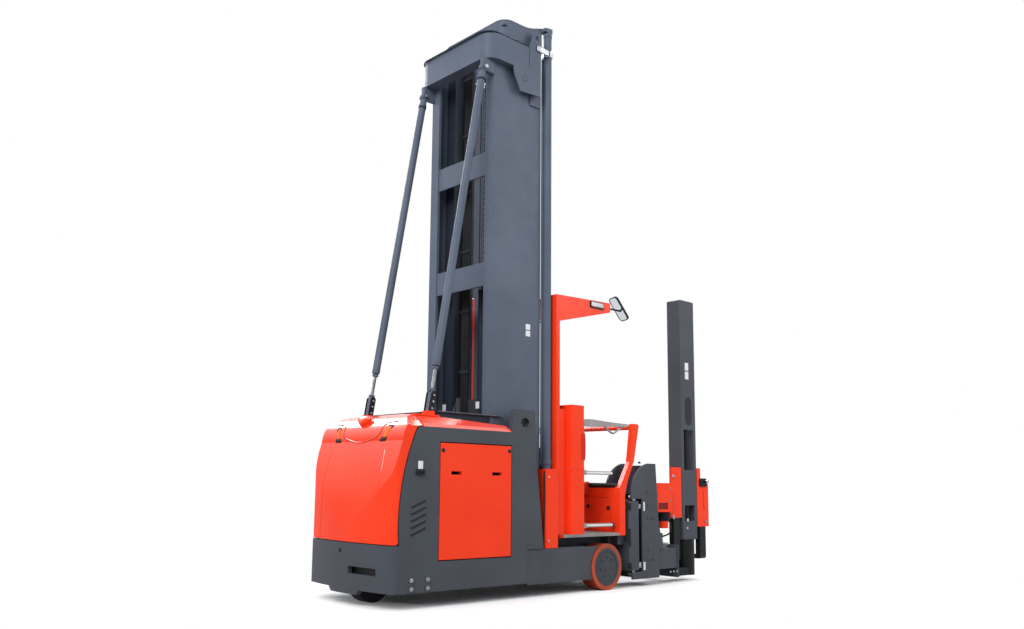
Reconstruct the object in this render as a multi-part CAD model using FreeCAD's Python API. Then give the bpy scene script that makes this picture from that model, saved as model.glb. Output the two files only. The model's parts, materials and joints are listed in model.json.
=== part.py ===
"""Very narrow aisle forklift with a rising operator cab and a swivelling three-way fork head.

Frame while building: x = 0 on the load-wheel axle, +X towards the forks, +Y to the truck's left,
z = 0 on the floor.  Every solid is moved along X when it is written, so that the finished truck
has its origin on the floor under the middle of its bounding box.  All sizes are millimetres.
"""
import FreeCAD, Part
import math
import os

V = FreeCAD.Vector

# ---------------------------------------------------------------- driving dimensions
# whole truck
truck_width = 1116.0
half_w = truck_width / 2
tail_x = -2425.0            # rearmost point of the skirt
tail_bulge = 55.0           # how far the rear bows out in plan
corner_r = 62.0             # rear corners in plan
ground_gap = 120.0          # under the chassis
plate = 40.0                # welded chassis plate
gap = 8.0                   # shut line round a door or a hood
clear = 6.0                 # running gap between parts that move past each other
seat_gap = 0.3              # between parts that bear on each other
run_fit = 0.08              # radial clearance of a pin or rod in its bore

# load wheels and the legs that carry them
load_wheel_r = 203.0
load_wheel_w = 150.0
hub_r = 142.0
axle_r = 30.0
axle_end = 32.0             # stub axle's end behind the hub's face
leg_height = 270.0
leg_width = 165.0
leg_inset = 32.0            # leg face behind the wheel's outer face, at the wheel

# chassis body
hood_bottom = 461.0
slot_y0 = -385.0            # slot in the skirt
slot_y1 = -63.0
slot_z0 = 236.0
slot_z1 = 290.0
tongue_half_w = 200.0       # tongue below the skirt
tongue_drop = 35.0
hood_inset = 4.0            # hood behind the skirt and the side panels
hood_corner = 25.0          # its rounded lower corners
side_top = 1340.0
deck_top = 1430.0
seam_bottom_x = -2318.0
seam_top_x = -2160.0
seam_bow = -62.0            # how far the seam between hood and side bows forward of its chord
leg_root_x = -1004.0
bulkhead_x = -1985.0
chassis_front_x = -812.0
upright_rear_x = -1188.0
upright_top = 1532.0
eye_x = -1040.0             # lifting eye in the upright
eye_z = 1432.0
eye_r = 30.0
hood_wall = 12.0
corner_lean = 0.075          # hood corners lean in by this much for each mm of height
corner_lean_z = 551.0        # where that lean starts
corner_way = (0.75, 0.66)    # rearwards and outwards shares of the way the leaning faces look
cover_t = 12.0              # flat cover over the battery
cover_rise = 38.0           # the cover above the deck
trim_drop = 40.0            # fall of the bevelled strip towards the upright
side_corner = 50.0          # rounded top corner of the side panel, at the seam
shoulder_inset = 108.0      # bevelled shoulder, from the side to the deck
hood_front_x = -2120.0

# battery and its side doors
door_x0 = -1945.0
door_x1 = -1192.0
door_z0 = 346.0
door_z1 = 1224.0
battery_length = 600.0
battery_side_gap = 28.0
battery_height = 800.0

# drive unit
drive_wheel_r = 165.0
drive_wheel_w = 120.0
drive_x = -2178.0
turntable_r = 165.0

# mast
mast_rear_x = -1310.0
mast_front_x = -722.0
mast_inset = 141.0          # fixed stage inside the chassis side
mast_top = 4800.0
mast_web = 20.0             # side plate of the fixed stage
mast_flange_w = 100.0
mast_flange_d = 28.0
cap_height = 240.0
cap_reach = 65.0            # head outside the fixed stage
cap_plate = 14.0
cap_rear_x = -1425.0
cap_r = 130.0               # its rear corners in plan
cap_short = 67.0            # its front edge behind the mast's front edge
cap_eye_back = 203.0        # eye in its gusset, behind the front edge
cap_eye_drop = 68.0         # and below the band
cap_eye_r = 24.0
cap_ear_r = 52.0            # round top of its front plate
beam_height = 205.0
beam_drops = (3510.0, 2112.0, 1135.0)   # cross members, below the mast's top
pad_drops = (1335.0, 340.0)            # guide pads of the moving stage
stage_gap = 12.0            # between the two stages
stage_channel_w = 108.0
stage_x0 = -1150.0
stage_x1 = -900.0
stage_wall = 24.0
stage_flange = 30.0
stage_bottom = 400.0
stage_cap_height = 261.0
stage_cap_rear = 184.0      # height of its rear run
stage_ear_t = 46.0          # its front ends, on the rods
chain_x = -1010.0           # cab lift cylinder, on the centre line
chain_barrel = 2200.0
barrel_r = 37.0
rod_r = 24.0
barrel_x = -664.0
barrel_bottom = 1050.0
foot_cover_x0 = -775.0      # cover under the barrel
foot_cover_x1 = -620.0

# stays
stay_r = 33.0
stay_foot_x = -1950.0
stay_y = 405.0

# cab
cab_over_wheel = 66.0
cab_floor_t = 24.0
cab_rear_x = -566.0
cab_front_x = 222.0
cab_front_h = 446.0
cab_front_t = 44.0          # front posts across the truck
seat_height = 418.0
seat_depth = 310.0
cab_post_x = -612.0
cab_post_d = 48.0
cab_post_inset = 47.0
cab_post_w = 72.0
guard_top = 2610.0          # at its front ends
guard_rear_top = 2588.0
guard_root = 2354.0         # top of the rear posts
mirror_yaw = 23.0           # mirrors turned in towards the operator
mirror_in = 18.0            # glass set in from its stalk
guard_tip = 88.0            # depth of the front ends
guard_front_x = 125.0
box_x0 = -461.0
box_x1 = -288.0
box_height = 1121.0
box_depth = 156.0
rail_z = 1462.0
rail_x = 425.0
gate_reach = (400.0, 400.0, 560.0)
gate_heights = (71.0, 534.0, 978.0)     # above the cab floor
gate_x = box_x1 + 34         # hinge pins of the gate's bars
gate_inset = 40.0
gate_t = 22.0
gate_pin_r = 8.0

# traverse frame on the front of the cab
frame_ahead = 118.0         # ahead of the load wheel
frame_depth = 146.0
frame_z0 = 150.0
frame_z1 = 780.0
rail_reach = 34.0
carriage_w = 320.0
carriage_x1 = 722.0
carriage_top = 1130.0
carriage_bottom = 70.0
foot_x1 = 1060.0
foot_z0 = 143.0
foot_z1 = 330.0
swivel_motor_x = 943.0

# swivel column, fork carriage and forks
column_x = 1390.0
column_w = 248.0
column_d = 150.0
column_bottom = 400.0
column_top = 2822.0
column_wall = 20.0
pivot_r = 100.0
fork_half_span = 220.0
fork_w = 100.0
fork_t = 42.0
fork_length = 1000.0
fork_z = 200.0
carrier_half_w = 330.0
carrier_z0 = 520.0
carrier_z1 = 950.0
carrier_gap = 10.0          # round the column

# ---------------------------------------------------------------- sizes that follow from those
column_y = -half_w + carriage_w / 2
traverse_travel = 2 * abs(column_y)
leg_z0 = ground_gap
leg_z1 = ground_gap + leg_height
front_x = column_x + carrier_half_w
shift_x = -(tail_x + front_x) / 2
wheel_y0 = half_w - load_wheel_w
cap_z0 = mast_top - cap_height
stay_head_z = cap_z0 - 94
beam_levels = [mast_top - drop for drop in beam_drops]
tie_levels = [stage_bottom + 70, beam_levels[1] + 65, beam_levels[2] + 100, mast_top + 80]
cap_front_x = mast_front_x - cap_short
inner_w = half_w - plate
skin_y = -half_w            # outer face of the right side
mast_half_w = half_w - mast_inset
cap_half_w = mast_half_w + cap_reach
stage_half_w = mast_half_w - mast_web - stage_gap
stage_inner_w = stage_half_w - stage_channel_w
stay_head_x = cap_rear_x
shoulder_y = half_w - shoulder_inset
cab_post_y = half_w - cab_post_inset
cab_bottom = 2 * load_wheel_r + cab_over_wheel
frame_x0 = load_wheel_r + frame_ahead
seat_z = cab_bottom + cab_floor_t + seat_height
gate_levels = [cab_bottom + cab_floor_t + height for height in gate_heights]
box_top = cab_bottom + cab_floor_t + box_height
frame_x1 = frame_x0 + frame_depth
swivel_motor_y = column_y - 68
barrel_y = mast_half_w + 28
barrel_top = mast_top + 225
stage_top = mast_top + 150
drive_deck_z = 2 * drive_wheel_r + 120
wheel_sweep = math.hypot(drive_wheel_r, drive_wheel_w / 2) + 15
stage_cap_z0 = mast_top + 20
stage_cap_z1 = stage_cap_z0 + stage_cap_height
bridge_front_x = stay_foot_x + 70
cover_z0 = deck_top + cover_rise


# ---------------------------------------------------------------- shape helpers
def box(x0, x1, y0, y1, z0, z1):
    """Block between two corners."""
    return Part.makeBox(x1 - x0, y1 - y0, z1 - z0, V(x0, y0, z0))


def rod(start, end, radius):
    """Round bar from one point to another."""
    a = V(*start)
    way = V(*end) - a
    return Part.makeCylinder(radius, way.Length, a, way)


def disc_y(x, z, y0, y1, radius):
    """Cylinder lying along Y."""
    return Part.makeCylinder(radius, y1 - y0, V(x, y0, z), V(0, 1, 0))


def prism_y(points, y0, y1):
    """Outline of (x, z) points drawn out along Y."""
    ring = [V(x, y0, z) for x, z in points]
    return Part.Face(Part.makePolygon(ring + ring[:1])).extrude(V(0, y1 - y0, 0))


def prism_x(points, x0, x1):
    """Outline of (y, z) points drawn out along X."""
    ring = [V(x0, y, z) for y, z in points]
    return Part.Face(Part.makePolygon(ring + ring[:1])).extrude(V(x1 - x0, 0, 0))


def prism_z(points, z0, z1):
    """Outline of (x, y) points drawn out along Z."""
    ring = [V(x, y, z0) for x, y in points]
    return Part.Face(Part.makePolygon(ring + ring[:1])).extrude(V(0, 0, z1 - z0))


def wire_face(edges):
    """Face inside a closed chain of edges."""
    return Part.Face(Part.Wire(Part.__sortEdges__(edges)))


def line(a, b):
    """Straight edge between two points."""
    return Part.LineSegment(V(*a), V(*b)).toShape()


def arc(a, mid, b):
    """Round edge through three points."""
    return Part.Arc(V(*a), V(*mid), V(*b)).toShape()


def mirrored(shape):
    """The same shape on the other side of the truck."""
    return shape.mirror(V(0, 0, 0), V(0, 1, 0))


def pair(shape):
    """A right-hand shape with its left-hand twin, as one compound."""
    return Part.makeCompound([shape, mirrored(shape)])


def edges_along(shape, axis, test=lambda c: True):
    """Straight edges parallel to an axis whose midpoint passes a test."""
    found = []
    for edge in shape.Edges:
        if edge.Curve.TypeId != "Part::GeomLine":
            continue
        way = edge.tangentAt(edge.FirstParameter)
        if abs(way.dot(axis)) > 0.999 and test(edge.CenterOfMass):
            found.append(edge)
    return found


def round_corner(shape, x, z, radius):
    """Round the edge that lies along Y at (x, z)."""
    corner = edges_along(shape, V(0, 1, 0), lambda c: abs(c.x - x) < 1 and abs(c.z - z) < 1)
    return shape.makeFillet(radius, corner)


def fuse(shapes):
    """One solid from shapes that meet."""
    whole = shapes[0].fuse(shapes[1:])
    return whole.removeSplitter()


def save(node, shape):
    """Write a node, moved to the finished truck's frame."""
    placed = shape.copy()
    placed.translate(V(shift_x, 0, 0))
    placed.exportStep("parts/" + node + ".step")


# ---------------------------------------------------------------- chassis
def plan_shell(inset, z0, z1):
    """Chassis plan with a bowed tail and round rear corners, drawn up from z0 to z1."""
    half_chord = half_w - inset
    radius = (half_w ** 2 + tail_bulge ** 2) / (2 * tail_bulge)
    tail = Part.makeCylinder(radius - inset, z1 - z0, V(tail_x + radius, 0, z0))
    block = box(tail_x + inset, chassis_front_x, -half_chord, half_chord, z0, z1)
    body = block.common(tail)
    corner = edges_along(body, V(0, 0, 1), lambda c: c.x < tail_x + 2 * tail_bulge + inset)
    return body.makeFillet(corner_r - inset, corner)


def skirt_band(z0, z1):
    """Welded band round the whole plan of the chassis."""
    return plan_shell(0, z0, z1).cut(plan_shell(plate, z0, z1))


def rear_skirt():
    """Lower band round the tail, welded to both side panels, with its slot and a tongue below."""
    x1 = tail_x + plate + tail_bulge
    split = box(seam_bottom_x, chassis_front_x, -half_w, half_w, ground_gap, hood_bottom)
    slot = box(tail_x - 1, x1, slot_y0, slot_y1, slot_z0, slot_z1)
    low = ground_gap - tongue_drop
    narrow = tongue_half_w - 30
    outline = prism_x([(-tongue_half_w, ground_gap), (-narrow, low), (narrow, low),
                       (tongue_half_w, ground_gap)], tail_x - 1, x1)
    tongue = skirt_band(low, ground_gap).common(outline)
    return fuse([skirt_band(ground_gap, hood_bottom).cut(split).cut(slot), tongue])


def side_panel():
    """Right side of the chassis, with the battery door's opening and the mast upright."""
    low = (seam_bottom_x, skin_y, hood_bottom)
    high = (seam_top_x, skin_y, side_top)
    seam_mid = ((low[0] + high[0]) / 2 + seam_bow, skin_y, (low[2] + high[2]) / 2)
    points = [
        high,
        (upright_rear_x, skin_y, side_top),
        (upright_rear_x, skin_y, upright_top),
        (chassis_front_x - 110, skin_y, upright_top),
        (chassis_front_x - 90, skin_y, side_top - 200),
        (chassis_front_x, skin_y, leg_z1),
        (leg_root_x, skin_y, leg_z1),
        (leg_root_x, skin_y, ground_gap),
        (seam_bottom_x, skin_y, ground_gap),
        low,
    ]
    edges = [arc(low, seam_mid, high)]
    edges += [line(a, b) for a, b in zip(points, points[1:])]
    panel = wire_face(edges).extrude(V(0, plate, 0))
    panel = round_corner(panel, seam_top_x, side_top, side_corner)
    panel = round_corner(panel, upright_rear_x, upright_top, side_corner)
    opening = box(door_x0 - gap, door_x1 + gap / 2, skin_y - 1, skin_y + plate + 1,
                  door_z0 - gap, door_z1 + gap)
    lift_eye = disc_y(eye_x, eye_z, skin_y - 1, skin_y + plate + 1, eye_r)
    panel = panel.cut(opening).cut(lift_eye)
    mast_mount = box(stage_x0, stage_x1 - plate, skin_y + plate, -mast_half_w, side_top - 160, side_top - 20)
    hinges = []
    for z in (door_z0 + 120, door_z1 - 200):
        root = box(bulkhead_x + 20, door_x0 - gap, skin_y + plate, skin_y + plate + 14, z, z + 80)
        leaf_y = skin_y + plate - clear + seat_gap
        leaf = box(door_x0 - gap, door_x0 + 20, leaf_y, skin_y + plate + 14, z, z + 80)
        hinges += [root, leaf]
    return fuse([panel, mast_mount] + hinges)


def battery_door():
    """Right battery door, hinged along its rear edge."""
    leaf = box(door_x0, door_x1 - gap / 2, -half_w, -half_w + plate - clear, door_z0, door_z1)
    for x in (door_x0 + 110, door_x1 - 215):
        leaf = leaf.cut(box(x, x + 105, -half_w - 1, -half_w + plate, 985, 1010))
    return leaf


def chassis_base():
    """Floor plate with its drive-wheel hole, bulkhead, drive deck and the beam under the mast."""
    floor = plan_shell(plate, ground_gap, leg_z0 + plate)
    wheel_hole = Part.makeCylinder(wheel_sweep, 2 * plate, V(drive_x, 0, ground_gap - 1))
    floor = floor.cut(wheel_hole)
    leg_y = half_w - leg_inset - leg_width
    for side in (-1, 1):
        y0, y1 = sorted((side * leg_y, side * half_w))
        floor = floor.cut(box(leg_root_x, chassis_front_x + 1, y0, y1, 0, leg_z1))
    bulkhead = box(bulkhead_x, bulkhead_x + 20, -inner_w, inner_w, ground_gap + plate, side_top)
    front = box(chassis_front_x - 30, chassis_front_x, -leg_y, leg_y, ground_gap + plate, leg_z1)
    deck_z0 = drive_deck_z + seat_gap
    deck_z1 = drive_deck_z + plate
    deck = plan_shell(plate, deck_z0, deck_z1)
    deck = deck.common(box(drive_x - turntable_r - 20, bulkhead_x, -inner_w, inner_w, deck_z0, deck_z1))
    return fuse([floor, bulkhead, front, deck])


def deck_cover():
    """Flat cover over the battery on two upright walls, with a strip beside each mast web."""
    x0 = bridge_front_x
    x1 = mast_rear_x - clear
    y = mast_half_w + 15
    top = box(x0, x1, -y, y, cover_z0, cover_z0 + cover_t)
    wall = box(x0, x1, -mast_half_w, -mast_half_w + cover_t, side_top, cover_z0)
    strip = box(x1, upright_rear_x, -y, -mast_half_w - 1, cover_z0, cover_z0 + cover_t)
    return fuse([top, wall, mirrored(wall), strip, mirrored(strip)])


def deck_trim():
    """Bevelled strip along the top of the right side, falling towards the upright."""
    profile = [
        (-half_w, side_top),
        (-half_w + 18, side_top + 26),
        (-shoulder_y + 2, deck_top),
        (-mast_half_w, deck_top),
        (-mast_half_w, side_top),
    ]
    x1 = upright_rear_x - gap
    strip = prism_x(profile, hood_front_x + gap, x1)
    fall = prism_y([(bridge_front_x, deck_top), (x1 + 1, deck_top - trim_drop), (x1 + 1, deck_top + 1),
                    (bridge_front_x, deck_top + 1)], -half_w - 1, -mast_half_w + 1)
    nose = prism_y([(x1 - 30, deck_top + 1), (x1 + 1, deck_top + 1), (x1 + 1, side_top + 6)],
                   -half_w - 1, -mast_half_w + 1)
    return strip.cut(fall).cut(nose)


def stay_bridge():
    """Bridge ahead of the hood: it carries the stays' feet and the hood's two hinge leaves."""
    x0 = hood_front_x + gap
    x1 = bridge_front_x
    y = mast_half_w
    parts = [box(x0, x1, -y, y, side_top, deck_top)]
    parts.append(box(x0, x1, -y - 40, y + 40, deck_top, deck_top + cover_t))
    foot = Part.makeCylinder(50, 30, V(stay_foot_x, -stay_y, deck_top + cover_t))
    leaf_z = deck_top + 14 - hood_wall - 9 - seat_gap
    leaf = box(hood_front_x - 20, x0, -shoulder_y + 150, -shoulder_y + 210, leaf_z - 6, leaf_z)
    for piece in (foot, leaf):
        parts += [piece, mirrored(piece)]
    whole = fuse(parts)
    return whole.cut(stay()).cut(mirrored(stay()))


def lean_corners(body, inset):
    """The hood's form with a leaning face planed on each rear corner."""
    size = math.hypot(*corner_way)
    back, out = (share / size for share in corner_way)
    radius = (half_w ** 2 + tail_bulge ** 2) / (2 * tail_bulge)
    centre_y = half_w - corner_r
    centre_x = tail_x + radius - math.sqrt((radius - corner_r) ** 2 - centre_y ** 2)
    reach = -centre_x * back + centre_y * out + corner_r - hood_inset - inset
    top = deck_top + 60
    for side in (-1, 1):
        way = V(-back, side * out, 0)
        start = way * reach - V(way.y, -way.x, 0) * half_w
        low = start + V(0, 0, corner_lean_z)
        high = start - way * (corner_lean * (top - corner_lean_z)) + V(0, 0, top)
        wedge = wire_face([line(low, low + way * half_w), line(low + way * half_w, high + way * half_w),
                           line(high + way * half_w, high), line(high, low)])
        body = body.cut(wedge.extrude(V(way.y, -way.x, 0) * truck_width))
    return body


def hood_volume(inset):
    """Rear hood's outer form, or its inside when inset."""
    z1 = deck_top + 60
    plan = plan_shell(hood_inset + inset, hood_bottom + clear, z1)
    low = (tail_x + hood_inset + inset, 0, hood_bottom)
    belly = (tail_x + 36 + inset, 0, hood_bottom + 430)
    brow = (tail_x + 120 + inset, 0, side_top - 110)
    crest = (tail_x + 225 + inset, 0, deck_top - 14 - inset)
    front = (hood_front_x, 0, deck_top + 14 - inset)
    edges = [
        arc(low, belly, brow),
        arc(brow, (tail_x + 168 + inset, 0, deck_top - 70 - inset), crest),
        line(crest, front),
        line(front, (hood_front_x, 0, hood_bottom)),
        line((hood_front_x, 0, hood_bottom), low),
    ]
    side_view = wire_face(edges).extrude(V(0, truck_width, 0))
    side_view.translate(V(0, -half_w, 0))
    top = deck_top + 24 - inset
    shoulder = shoulder_y
    rim = side_top - inset
    crown = [
        line((tail_x, -half_w, hood_bottom), (tail_x, half_w, hood_bottom)),
        line((tail_x, half_w, hood_bottom), (tail_x, half_w, rim)),
        line((tail_x, half_w, rim), (tail_x, shoulder, deck_top - inset)),
        arc((tail_x, shoulder, deck_top - inset), (tail_x, 0, top), (tail_x, -shoulder, deck_top - inset)),
        line((tail_x, -shoulder, deck_top - inset), (tail_x, -half_w, rim)),
        line((tail_x, -half_w, rim), (tail_x, -half_w, hood_bottom)),
    ]
    end_view = wire_face(crown).extrude(V(abs(tail_x), 0, 0))
    return lean_corners(plan.common(side_view).common(end_view), inset)


def hood():
    """Rear hood over the drive unit: a crowned shell that wraps both corners up to the seam."""
    shell = hood_volume(0).cut(hood_volume(hood_wall))
    sill = side_top + gap
    low = (seam_bottom_x - gap, skin_y, hood_bottom - 1)
    high = (seam_top_x - gap, skin_y, sill)
    mid = ((low[0] + high[0]) / 2 + seam_bow, skin_y, (hood_bottom + side_top) / 2)
    front_low = (hood_front_x + 100, skin_y, hood_bottom - 1)
    front_high = (hood_front_x + 100, skin_y, sill)
    ahead = [arc(low, mid, high), line(high, front_high), line(front_high, front_low), line(front_low, low)]
    side_zone = wire_face(ahead).extrude(V(0, truck_width, 0))
    side_zone = round_corner(side_zone, high[0], sill, side_corner + gap)
    x = seam_bottom_x - gap
    z = hood_bottom + clear
    corner = box(x - hood_corner, x + gap, -half_w, half_w, z - 1, z + hood_corner)
    corner = corner.cut(disc_y(x - hood_corner, z + hood_corner, -half_w - 1, half_w + 1, hood_corner))
    return shell.cut(side_zone).cut(corner)


# ---------------------------------------------------------------- legs, wheels and drive
def support_leg():
    """Right leg: a box beam, the inner plate beside the wheel, and the wheel's stub axle."""
    y0 = skin_y + leg_inset
    y1 = y0 + leg_width
    wheel_gap_x = -load_wheel_r - plate
    beam = box(leg_root_x, wheel_gap_x, y0, y1, leg_z0, leg_z1)
    inner = -wheel_y0 + clear
    plate_in = box(wheel_gap_x, 4 * axle_r, inner, y1, leg_z0, leg_z1 - plate)
    axle = disc_y(0, load_wheel_r, skin_y + axle_end, y1, axle_r)
    return fuse([beam, plate_in, axle])


def load_wheel_hub():
    """Right load wheel's dark steel disc, with its bolt holes and axle bore."""
    disc = disc_y(0, load_wheel_r, skin_y + 4, -wheel_y0, hub_r)
    disc = disc.cut(disc_y(0, load_wheel_r, skin_y + axle_end - 2, -wheel_y0 + 1, axle_r + run_fit))
    for k in range(7):
        turn = 2 * math.pi * k / 7
        x = 0.62 * hub_r * math.cos(turn)
        z = load_wheel_r + 0.62 * hub_r * math.sin(turn)
        disc = disc.cut(disc_y(x, z, skin_y + 3, skin_y + 24, 9))
    return disc


def load_wheel_tyre():
    """Polyurethane tyre pressed on the right load wheel's disc."""
    ring = disc_y(0, load_wheel_r, -half_w, -wheel_y0, load_wheel_r)
    return ring.cut(disc_y(0, load_wheel_r, -half_w - 1, -wheel_y0 + 1, hub_r))


def drive_turntable():
    """Steered drive unit: turntable, side leg of the gearbox and axle stub."""
    top = Part.makeCylinder(turntable_r, 60, V(drive_x, 0, 2 * drive_wheel_r + 60))
    y0 = drive_wheel_w / 2 + clear
    cheek = box(drive_x - 80, drive_x + 80, y0, y0 + 60, drive_wheel_r - 70, 2 * drive_wheel_r + 60)
    neck = box(drive_x - 80, drive_x + 80, -60, y0, 2 * drive_wheel_r + 20, 2 * drive_wheel_r + 60)
    stub = disc_y(drive_x, drive_wheel_r, -drive_wheel_w / 2 + 20, y0, axle_r)
    return fuse([top, cheek, neck, stub])


def drive_wheel():
    """Drive wheel with its rubber tread, bored for the stub."""
    wheel = disc_y(drive_x, drive_wheel_r, -drive_wheel_w / 2, drive_wheel_w / 2, drive_wheel_r)
    return wheel.cut(disc_y(drive_x, drive_wheel_r, -drive_wheel_w / 2 + 20, drive_wheel_w / 2 + 1,
                            axle_r + run_fit))


def drive_motor():
    """Drive motor and pump, as one plain block on the drive unit's deck."""
    z0 = drive_deck_z + plate
    return box(drive_x - 150, bulkhead_x - 10, -220, 220, z0, z0 + 420)


def battery():
    """Traction battery, one plain block on the floor plate."""
    x1 = mast_rear_x - 15
    z0 = ground_gap + plate
    y = inner_w - battery_side_gap
    return box(x1 - battery_length, x1, -y, y, z0, z0 + battery_height)


# ---------------------------------------------------------------- fixed mast
def fixed_mast():
    """Fixed stage: two deep webs with stiff rear flanges, joined by cross members."""
    z0 = ground_gap + plate
    z1 = cap_z0 + 80
    flange_y = mast_half_w - mast_flange_w
    web = box(mast_rear_x, mast_front_x, -mast_half_w, -mast_half_w + mast_web, z0, z1)
    web = web.cut(box(leg_root_x, mast_front_x + 1, -mast_half_w - 1, 0, 0, leg_z1))
    flange = box(mast_rear_x, mast_rear_x + mast_flange_d, -mast_half_w + mast_web, -flange_y, z0, z1)
    packer = box(mast_front_x - 147, mast_front_x - 24, -mast_half_w - 13, -mast_half_w,
                 cap_z0 - 270, cap_z0 - 150)
    parts = [web, flange, packer]
    for drop in pad_drops:
        z = mast_top - drop
        parts.append(box(stage_x0 + 50, stage_x1 - 50, -mast_half_w + mast_web, -stage_half_w - seat_gap,
                         z, z + 160))
    parts += [mirrored(p) for p in parts]
    for z in beam_levels:
        parts.append(box(mast_rear_x + 8, mast_rear_x + mast_flange_d, -flange_y, flange_y,
                         z - beam_height / 2, z + beam_height / 2))
    return fuse(parts)


def u_band(half_outer, rear_x, front_x_, wall, z0, z1, radius):
    """Flat bar bent into a U in plan, open towards the front."""
    outer = box(rear_x, front_x_, -half_outer, half_outer, z0, z1)
    outer = outer.makeFillet(radius, edges_along(outer, V(0, 0, 1), lambda c: c.x < rear_x + 1))
    inner = box(rear_x + wall, front_x_ + 1, -half_outer + wall, half_outer - wall, z0 - 1, z1 + 1)
    corner = edges_along(inner, V(0, 0, 1), lambda c: c.x < rear_x + wall + 1)
    return outer.cut(inner.makeFillet(radius - wall, corner))


def mast_cap():
    """Head of the fixed stage: a U-shaped band on a shelf, with gussets, front eyes and the stays' lugs."""
    x1 = cap_front_x
    y_in = -cap_half_w + cap_plate
    band = u_band(cap_half_w, cap_rear_x, x1, cap_plate, cap_z0, mast_top, cap_r)
    shelf = u_band(-y_in, cap_rear_x + cap_plate, x1, cap_reach - cap_plate, cap_z0, cap_z0 + 12,
                   cap_r - cap_plate)
    shelf = shelf.cut(box(mast_rear_x, x1 + 1, -mast_half_w, mast_half_w, cap_z0 - 1, cap_z0 + 13))
    tie = box(cap_rear_x + 45, mast_rear_x, -mast_half_w, mast_half_w, cap_z0, cap_z0 + 12)
    gusset = prism_y([(x1 - 341, cap_z0 + 1), (x1 - 328, cap_z0 - 71), (x1 - 252, cap_z0 - 209),
                      (x1, cap_z0 - 190), (x1, cap_z0 + 1)], -cap_half_w, y_in)
    gusset = gusset.cut(disc_y(x1 - cap_eye_back, cap_z0 - cap_eye_drop, -cap_half_w - 1, y_in + 1,
                               cap_eye_r))
    ear_z = mast_top + 117
    left = (x1 - 2 * cap_ear_r, -cap_half_w, ear_z)
    crown = (x1 - cap_ear_r, -cap_half_w, ear_z + cap_ear_r)
    right = (x1, -cap_half_w, ear_z)
    foot_left = (x1 - 149, -cap_half_w, mast_top - 1)
    foot_right = (x1, -cap_half_w, mast_top - 1)
    ear = wire_face([arc(left, crown, right), line(right, foot_right), line(foot_right, foot_left),
                     line(foot_left, left)]).extrude(V(0, cap_plate, 0))
    filler = box(mast_rear_x + 90, x1 - 260, y_in, -mast_half_w, cap_z0, cap_z0 + 80)
    lug = box(cap_rear_x - 15, mast_rear_x, -stay_y - 22, -stay_y + 22, stay_head_z - 26, cap_z0)
    parts = [band, shelf, tie]
    for piece in (gusset, ear, filler, lug):
        parts += [piece, mirrored(piece)]
    return fuse(parts).cut(stay()).cut(mirrored(stay()))


def lift_barrel():
    """Right lift cylinder's barrel, clamped to the fixed stage below and to its head above."""
    height = barrel_top - barrel_bottom
    tube = Part.makeCylinder(barrel_r, height, V(barrel_x, -barrel_y, barrel_bottom))
    bore = Part.makeCylinder(rod_r + run_fit, height, V(barrel_x, -barrel_y, barrel_bottom + 60))
    low = barrel_bottom + 40
    high = mast_top - 10
    parts = [
        tube,
        Part.makeCylinder(barrel_r + clear, 45, V(barrel_x, -barrel_y, low)),
        box(mast_front_x, barrel_x, -mast_half_w - 8, -mast_half_w + mast_web, low, low + 45),
        Part.makeCylinder(barrel_r + clear, 55, V(barrel_x, -barrel_y, high)),
        box(cap_front_x - 50, barrel_x, -cap_half_w - 8, -cap_half_w, high, high + 55),
    ]
    return fuse(parts).cut(bore)


def cylinder_foot():
    """Right cover that stands on the leg and carries the lift cylinder's barrel."""
    body = box(foot_cover_x0, foot_cover_x1, skin_y + 6, -mast_half_w - clear, leg_z1, barrel_bottom)
    return body.makeFillet(20, edges_along(body, V(0, 0, 1), lambda c: c.y < skin_y + 7))


# ---------------------------------------------------------------- moving mast stage
def moving_stage():
    """Moving stage: two channels open towards each other, with ties across their rear flanges."""
    z0 = stage_bottom
    z1 = stage_top
    y_in = -stage_half_w + stage_wall
    parts = [
        box(stage_x0, stage_x1, -stage_half_w, y_in, z0, z1),
        box(stage_x0, stage_x0 + stage_flange, y_in, -stage_inner_w, z0, z1),
        box(stage_x1 - stage_flange, stage_x1, y_in, -stage_inner_w, z0, z1),
    ]
    parts += [mirrored(p) for p in parts]
    for z in tie_levels:
        parts.append(box(stage_x0, stage_x0 + stage_flange, -stage_inner_w, stage_inner_w, z - 70, z + 70))
    return fuse(parts)


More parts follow.
